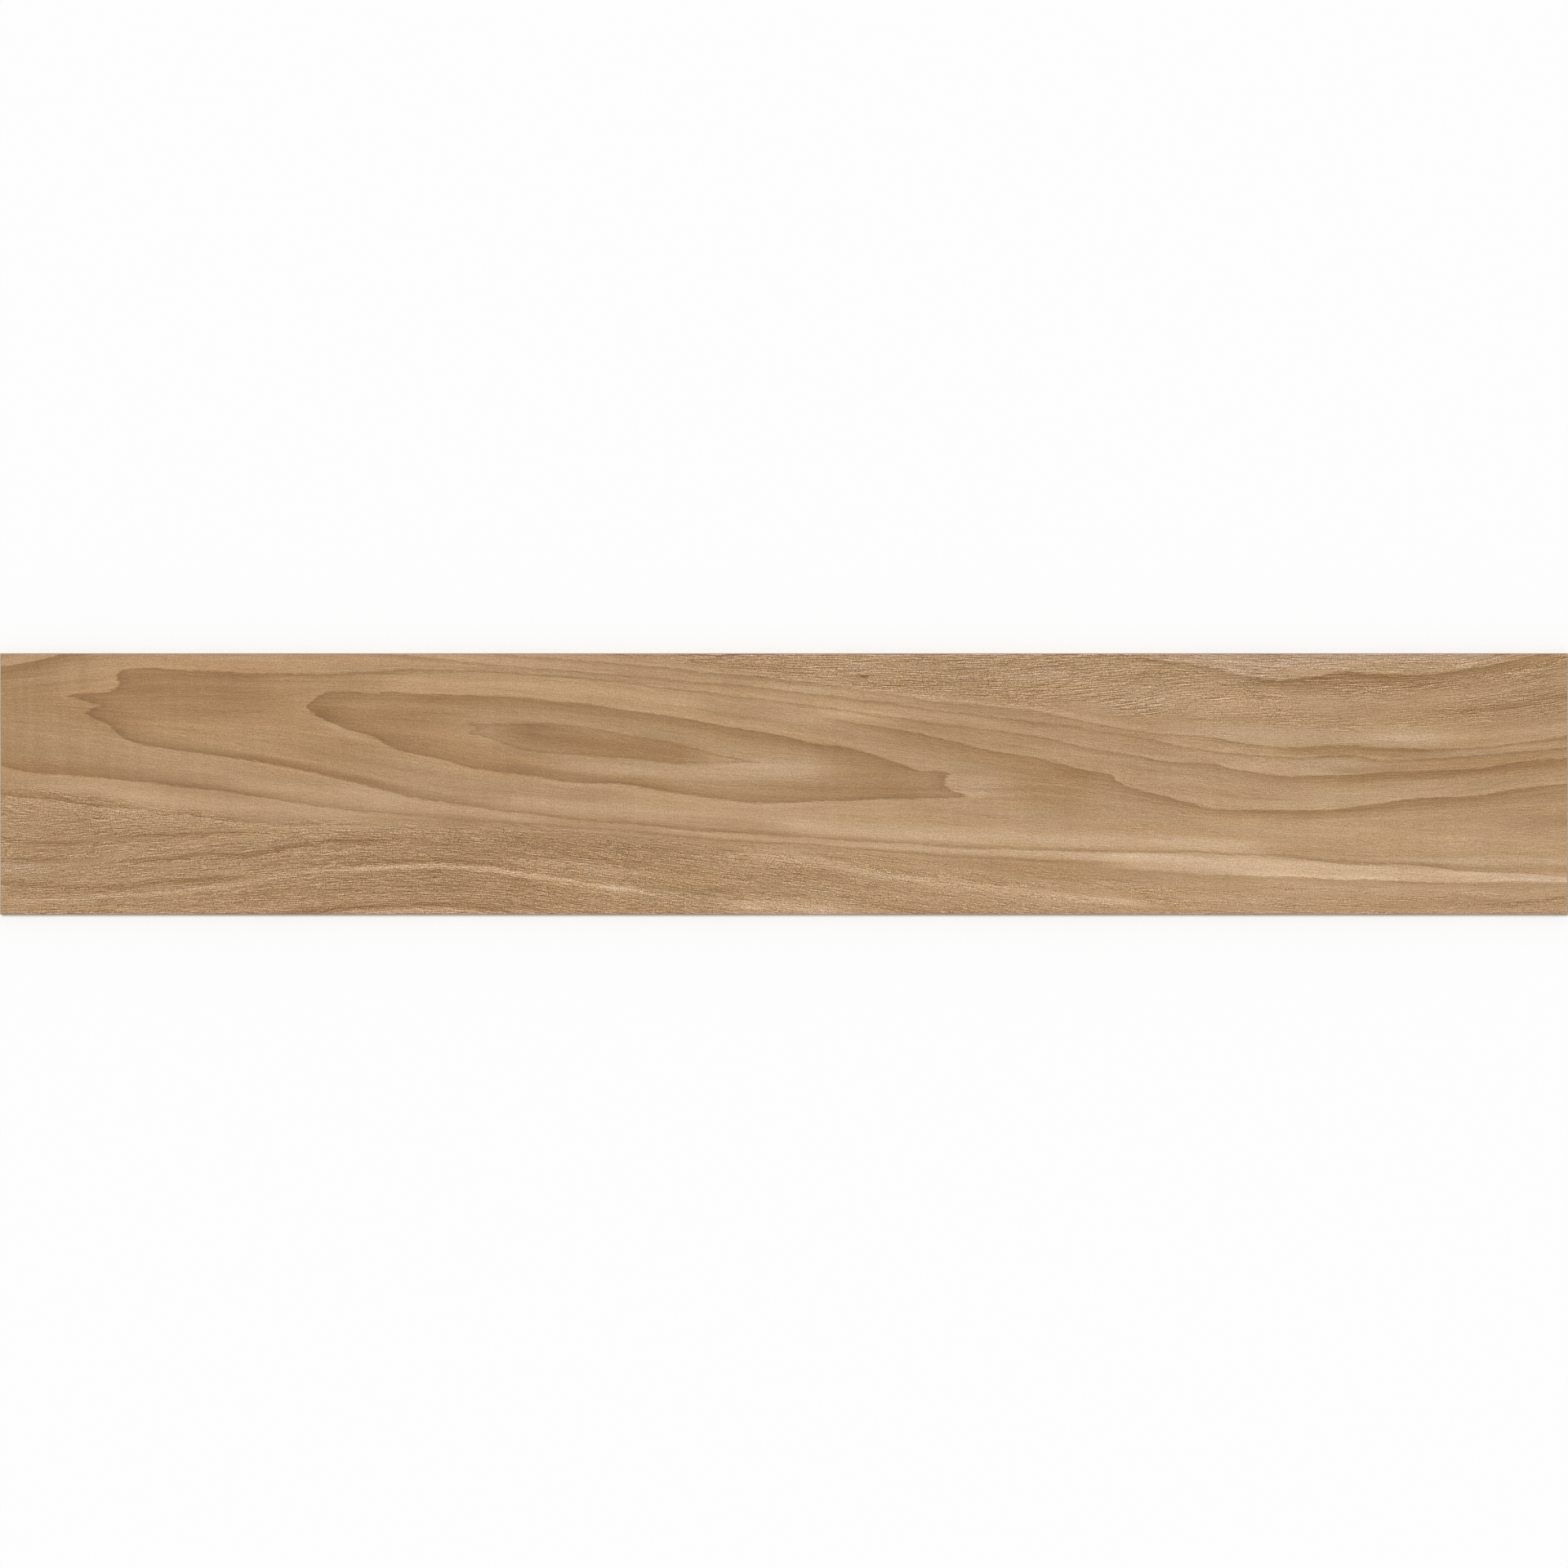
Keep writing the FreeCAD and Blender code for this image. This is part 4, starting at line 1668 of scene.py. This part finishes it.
    def press_back(self, shell: bmesh.types.BMesh, size: Vector, middle: Vector, foot: float) -> None:
        """Press the keying channels into the back.

        Args:
            shell: the mesh to build in.
            size: length, width and thickness.
            middle: middle of the plank.
            foot: height of the back.
        """
        pitch = self.key_channel + self.key_rib
        count = math.floor((size.y - 2 * self.key_border + self.key_rib) / pitch)
        centres = [middle.y + (number - (count - 1) / 2) * pitch for number in range(count)]
        half, end = self.key_channel / 2, size.x / 2 - self.key_border
        cuts = [((0, centre + side * half, foot), (0, 1, 0)) for centre in centres for side in (-1, 1)]
        cuts += [((middle.x + side * end, 0, foot), (1, 0, 0)) for side in (-1, 1)]
        for point, normal in cuts:
            flat = self.flat_back(shell, foot)
            parts = set(flat)
            for face in flat:
                parts.update(face.edges)
                parts.update(face.verts)
            bmesh.ops.bisect_plane(shell, geom=list(parts), dist=SAME_POINT, plane_co=point,
                                   plane_no=normal)
        mouths = [face for face in self.flat_back(shell, foot)
                  if self.is_mouth(face, centres, half, middle.x, end)]
        brims = {edge for face in mouths for edge in face.edges}
        draft = self.key_depth * math.tan(math.radians(self.key_draft))
        bmesh.ops.inset_individual(shell, faces=mouths, thickness=draft, depth=-self.key_depth,
                                   use_even_offset=True)
        brims = [edge for edge in brims
                 if edge.is_valid and all(abs(vert.co.z - foot) < SAME_HEIGHT for vert in edge.verts)]
        bmesh.ops.bevel(shell, geom=brims, offset=self.key_round, offset_type="OFFSET", segments=2,
                        profile=0.5, affect="EDGES", material=-1, clamp_overlap=True)

    def flat_back(self, shell: bmesh.types.BMesh, foot: float) -> list[bmesh.types.BMFace]:
        """List the faces that lie flat in the back."""
        return [face for face in shell.faces
                if all(abs(vert.co.z - foot) < SAME_HEIGHT for vert in face.verts)]

    def is_mouth(self, face: bmesh.types.BMFace, centres: list[float], half: float, x: float,
                 end: float) -> bool:
        """Say whether a face of the back is the mouth of a channel."""
        at = face.calc_center_median()
        return abs(at.x - x) < end and any(abs(at.y - centre) < half for centre in centres)

    def carve_figure(self, mesh: bpy.types.Mesh, size: Vector, middle: Vector, top: float) -> None:
        """Put the wood figure's attributes on the wear face, and sink its structure into it.

        Args:
            mesh: the plank's mesh.
            size: length, width and thickness.
            middle: middle of the plank.
            top: height of the wear face.
        """
        places = read(mesh.vertices, "co", 3).astype(float)
        half_length, half_width = size.x / 2 - self.arris, size.y / 2 - self.arris
        xs = np.linspace(-half_length, half_length, self.columns + 1) / MM
        ys = np.linspace(-half_width, half_width, self.rows + 1) / MM
        traits = WoodFigure().traits(xs, ys)
        part_x = (places[:, 0] - middle.x + half_length) / (2 * half_length)
        part_y = (places[:, 1] - middle.y + half_width) / (2 * half_width)
        column = np.clip(np.rint(part_x * self.columns), 0, self.columns).astype(int)
        row = np.clip(np.rint(part_y * self.rows), 0, self.rows).astype(int)
        for trait, field in traits.items():
            layer = mesh.attributes.new(trait.value, "FLOAT", "POINT")
            layer.data.foreach_set("value", field[row, column].astype(np.float32))
        on_face = places[:, 2] > top - SAME_HEIGHT
        sunk = self.structure(xs, traits)[row, column] * self.relief
        places[on_face, 2] -= sunk[on_face]
        mesh.vertices.foreach_set("co", places.astype(np.float32).ravel())
        mesh.update()

    def structure(self, xs: np.ndarray, traits: dict[Trait, np.ndarray]) -> np.ndarray:
        """Work out how deep the wood structure lies.

        Args:
            xs: places of the lattice's columns.
            traits: the figure's attributes on the lattice.

        Returns:
            Depth of each place, from 0 on the crests to 1 in the grooves.
        """
        strongest = 1.2
        grain, coarse = traits[Trait.GRAIN], traits[Trait.PORES]
        along = np.broadcast_to(xs, grain.shape)
        swell, swell_share = self.long_swell
        depth = self.mean_depth + swell_share * swell.read(along, grain)
        for marks, closed_share, open_share in (self.brushed, self.pitted):
            depth = depth + (closed_share + open_share * coarse) * marks.read(along, grain)
        groove_share, groove_width = self.groove
        late_wood = (1 - traits[Trait.RING] % 1) * traits[Trait.PITCH]
        groove = np.exp(-late_wood / groove_width) * np.clip(traits[Trait.DEPTH], 0, strongest)
        return np.clip(depth + groove_share * groove, 0, 1)

    def lay_map(self, mesh: bpy.types.Mesh, low: Vector, size: Vector) -> None:
        """Lay the plank out flat on a map: two halves of the wear face, the back and the four edges.

        Args:
            mesh: the plank's mesh.
            low: lowest corner of the plank.
            size: length, width and thickness.
        """
        level = 0.5
        corners = read(mesh.loops, "vertex_index", kind=np.int32)
        share = ((read(mesh.vertices, "co", 3) - np.array(low)) / np.array(size))[corners]
        counts = read(mesh.polygons, "loop_total", kind=np.int32)
        facing = np.repeat(read(mesh.polygons, "normal", 3), counts, axis=0)
        middle_x = np.repeat(read(mesh.polygons, "center", 3)[:, 0], counts)
        upward, downward = facing[:, 2] > level, facing[:, 2] < -level
        endways = ~upward & ~downward & (np.abs(facing[:, 0]) > np.abs(facing[:, 1]))
        sideways = ~upward & ~downward & ~endways
        x, y, z = share.T
        sides = (
            (upward & (middle_x < 0), Strip(.002, .234, .998, .612), x * 2, y),
            (upward & (middle_x >= 0), Strip(.002, .618, .998, .996), x * 2 - 1, y),
            (downward, Strip(.002, .078, .998, .228), x, y),
            (sideways & (facing[:, 1] < 0), Strip(.002, .004, .998, .022), x, z),
            (sideways & (facing[:, 1] > 0), Strip(.002, .028, .998, .046), x, z),
            (endways & (facing[:, 0] < 0), Strip(.002, .052, .46, .072), y, z),
            (endways & (facing[:, 0] > 0), Strip(.52, .052, .98, .072), y, z),
        )
        spots = np.zeros((len(corners), 2))
        for mask, strip, share_x, share_y in sides:
            spots[mask] = strip.lay(share_x[mask], share_y[mask])
        layer = mesh.uv_layers.new(name="OFBake")
        layer.uv.foreach_set("vector", spots.astype(np.float32).ravel())


# The floor, the light and the camera.


@dataclass(frozen=True)
class Studio:
    """Pale floor, even soft light and a camera straight above.

    Attributes:
        floor_size: side of the floor.
        floor_gap: how far the floor lies below the plank's back.
        floor_colour: colour of the floor.
        camera_height: height of the camera above the wear face.
        sensor: width of the camera's sensor in mm.
        farthest: how far the camera sees.
        ambient: light that comes evenly from all sides.
        key: light of the soft box, as a share of what lights a level surface.
        key_tilt: how far the soft box leans from straight above, in degrees.
        key_turn: direction that it stands in, in degrees from +X towards +Y.
        key_softness: how wide it looks from the plank, in degrees.
    """

    floor_size: float = 40.0
    floor_gap: float = 0.02 * MM
    floor_colour: Colour = (0.985, 0.985, 0.985, 1.0)
    camera_height: float = 6.0
    sensor: float = 36.0
    farthest: float = 100.0
    ambient: float = 0.40
    key: float = 0.60
    key_tilt: float = 9.0
    key_turn: float = 125.0
    key_softness: float = 16.0

    def build(self) -> None:
        """Set up the floor, the lights, the sky and the camera."""
        low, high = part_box(TILE_NODE)
        self.lay_floor(low.z)
        self.light()
        self.hang_camera(low, high)
        bpy.context.scene.view_settings.view_transform = "Standard"

    def lay_floor(self, height: float) -> None:
        """Lay a plain near-white floor that keeps the plank's shadow.

        Args:
            height: height of the plank's back.
        """
        sheet = bmesh.new()
        bmesh.ops.create_grid(sheet, x_segments=1, y_segments=1, size=self.floor_size / 2)
        bmesh.ops.translate(sheet, vec=(0, 0, height - self.floor_gap), verts=sheet.verts[:])
        floor = settle(sheet, "studio_floor")
        material, wiring = new_material("studio_paper")
        shader = wiring.node("BsdfDiffuse")
        shader.inputs["Color"].default_value = self.floor_colour
        wiring.feed(wiring.node("OutputMaterial").inputs["Surface"], shader.outputs[0])
        floor.data.materials.append(material)

    def light(self) -> None:
        """Hang one soft key light and an even sky that looks white to the camera and in reflections."""
        lamp = bpy.data.lights.new("soft_key", "SUN")
        lamp.angle = math.radians(self.key_softness)
        lamp.energy = self.key * math.pi / math.cos(math.radians(self.key_tilt))
        key = bpy.data.objects.new("soft_key", lamp)
        key.rotation_euler = (0, math.radians(self.key_tilt), math.radians(self.key_turn))
        bpy.context.scene.collection.objects.link(key)
        world = bpy.data.worlds.new("studio_sky")
        bpy.context.scene.world = world
        world.use_nodes = True
        wiring = Wiring(world.node_tree)
        path = wiring.node("LightPath")
        sky = wiring.node("Background")
        sky.inputs["Color"].default_value = (1, 1, 1, 1)
        strength = self.ambient
        for ray in ("Is Camera Ray", "Is Glossy Ray", "Is Transmission Ray"):
            strength = wiring.maths("MAXIMUM", path.outputs[ray], strength)
        wiring.feed(sky.inputs["Strength"], strength)
        wiring.feed(wiring.node("OutputWorld").inputs["Surface"], sky.outputs[0])

    def hang_camera(self, low: Vector, high: Vector) -> None:
        """Look straight down, with the plank's length filling the picture's width.

        Args:
            low: lowest corner of the plank.
            high: highest corner of the plank.
        """
        lens = bpy.data.cameras.new("plan_camera")
        lens.sensor_width = self.sensor
        lens.lens = self.sensor * self.camera_height / (high.x - low.x)
        lens.clip_end = self.farthest
        camera = bpy.data.objects.new("plan_camera", lens)
        camera.location = ((low.x + high.x) / 2, (low.y + high.y) / 2, high.z + self.camera_height)
        bpy.context.scene.collection.objects.link(camera)
        bpy.context.scene.camera = camera


def main() -> None:
    """Build the plank and its studio."""
    logging.basicConfig(level=logging.INFO, format="%(message)s")
    marks, grit = marks_group(), grit_group()
    glaze = PrintedGlaze().build(marks, grit)
    body = FiredBody().build(marks, grit)
    plank = Plank().build("glazed_plank", glaze, body)
    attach(plank, "root")
    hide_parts(TILE_NODE)
    log.info("%s: %d faces", plank.name, len(plank.data.polygons))
    Studio().build()
    log.info("studio: floor, soft key light, even sky and camera")


if __name__ == "__main__":
    main()
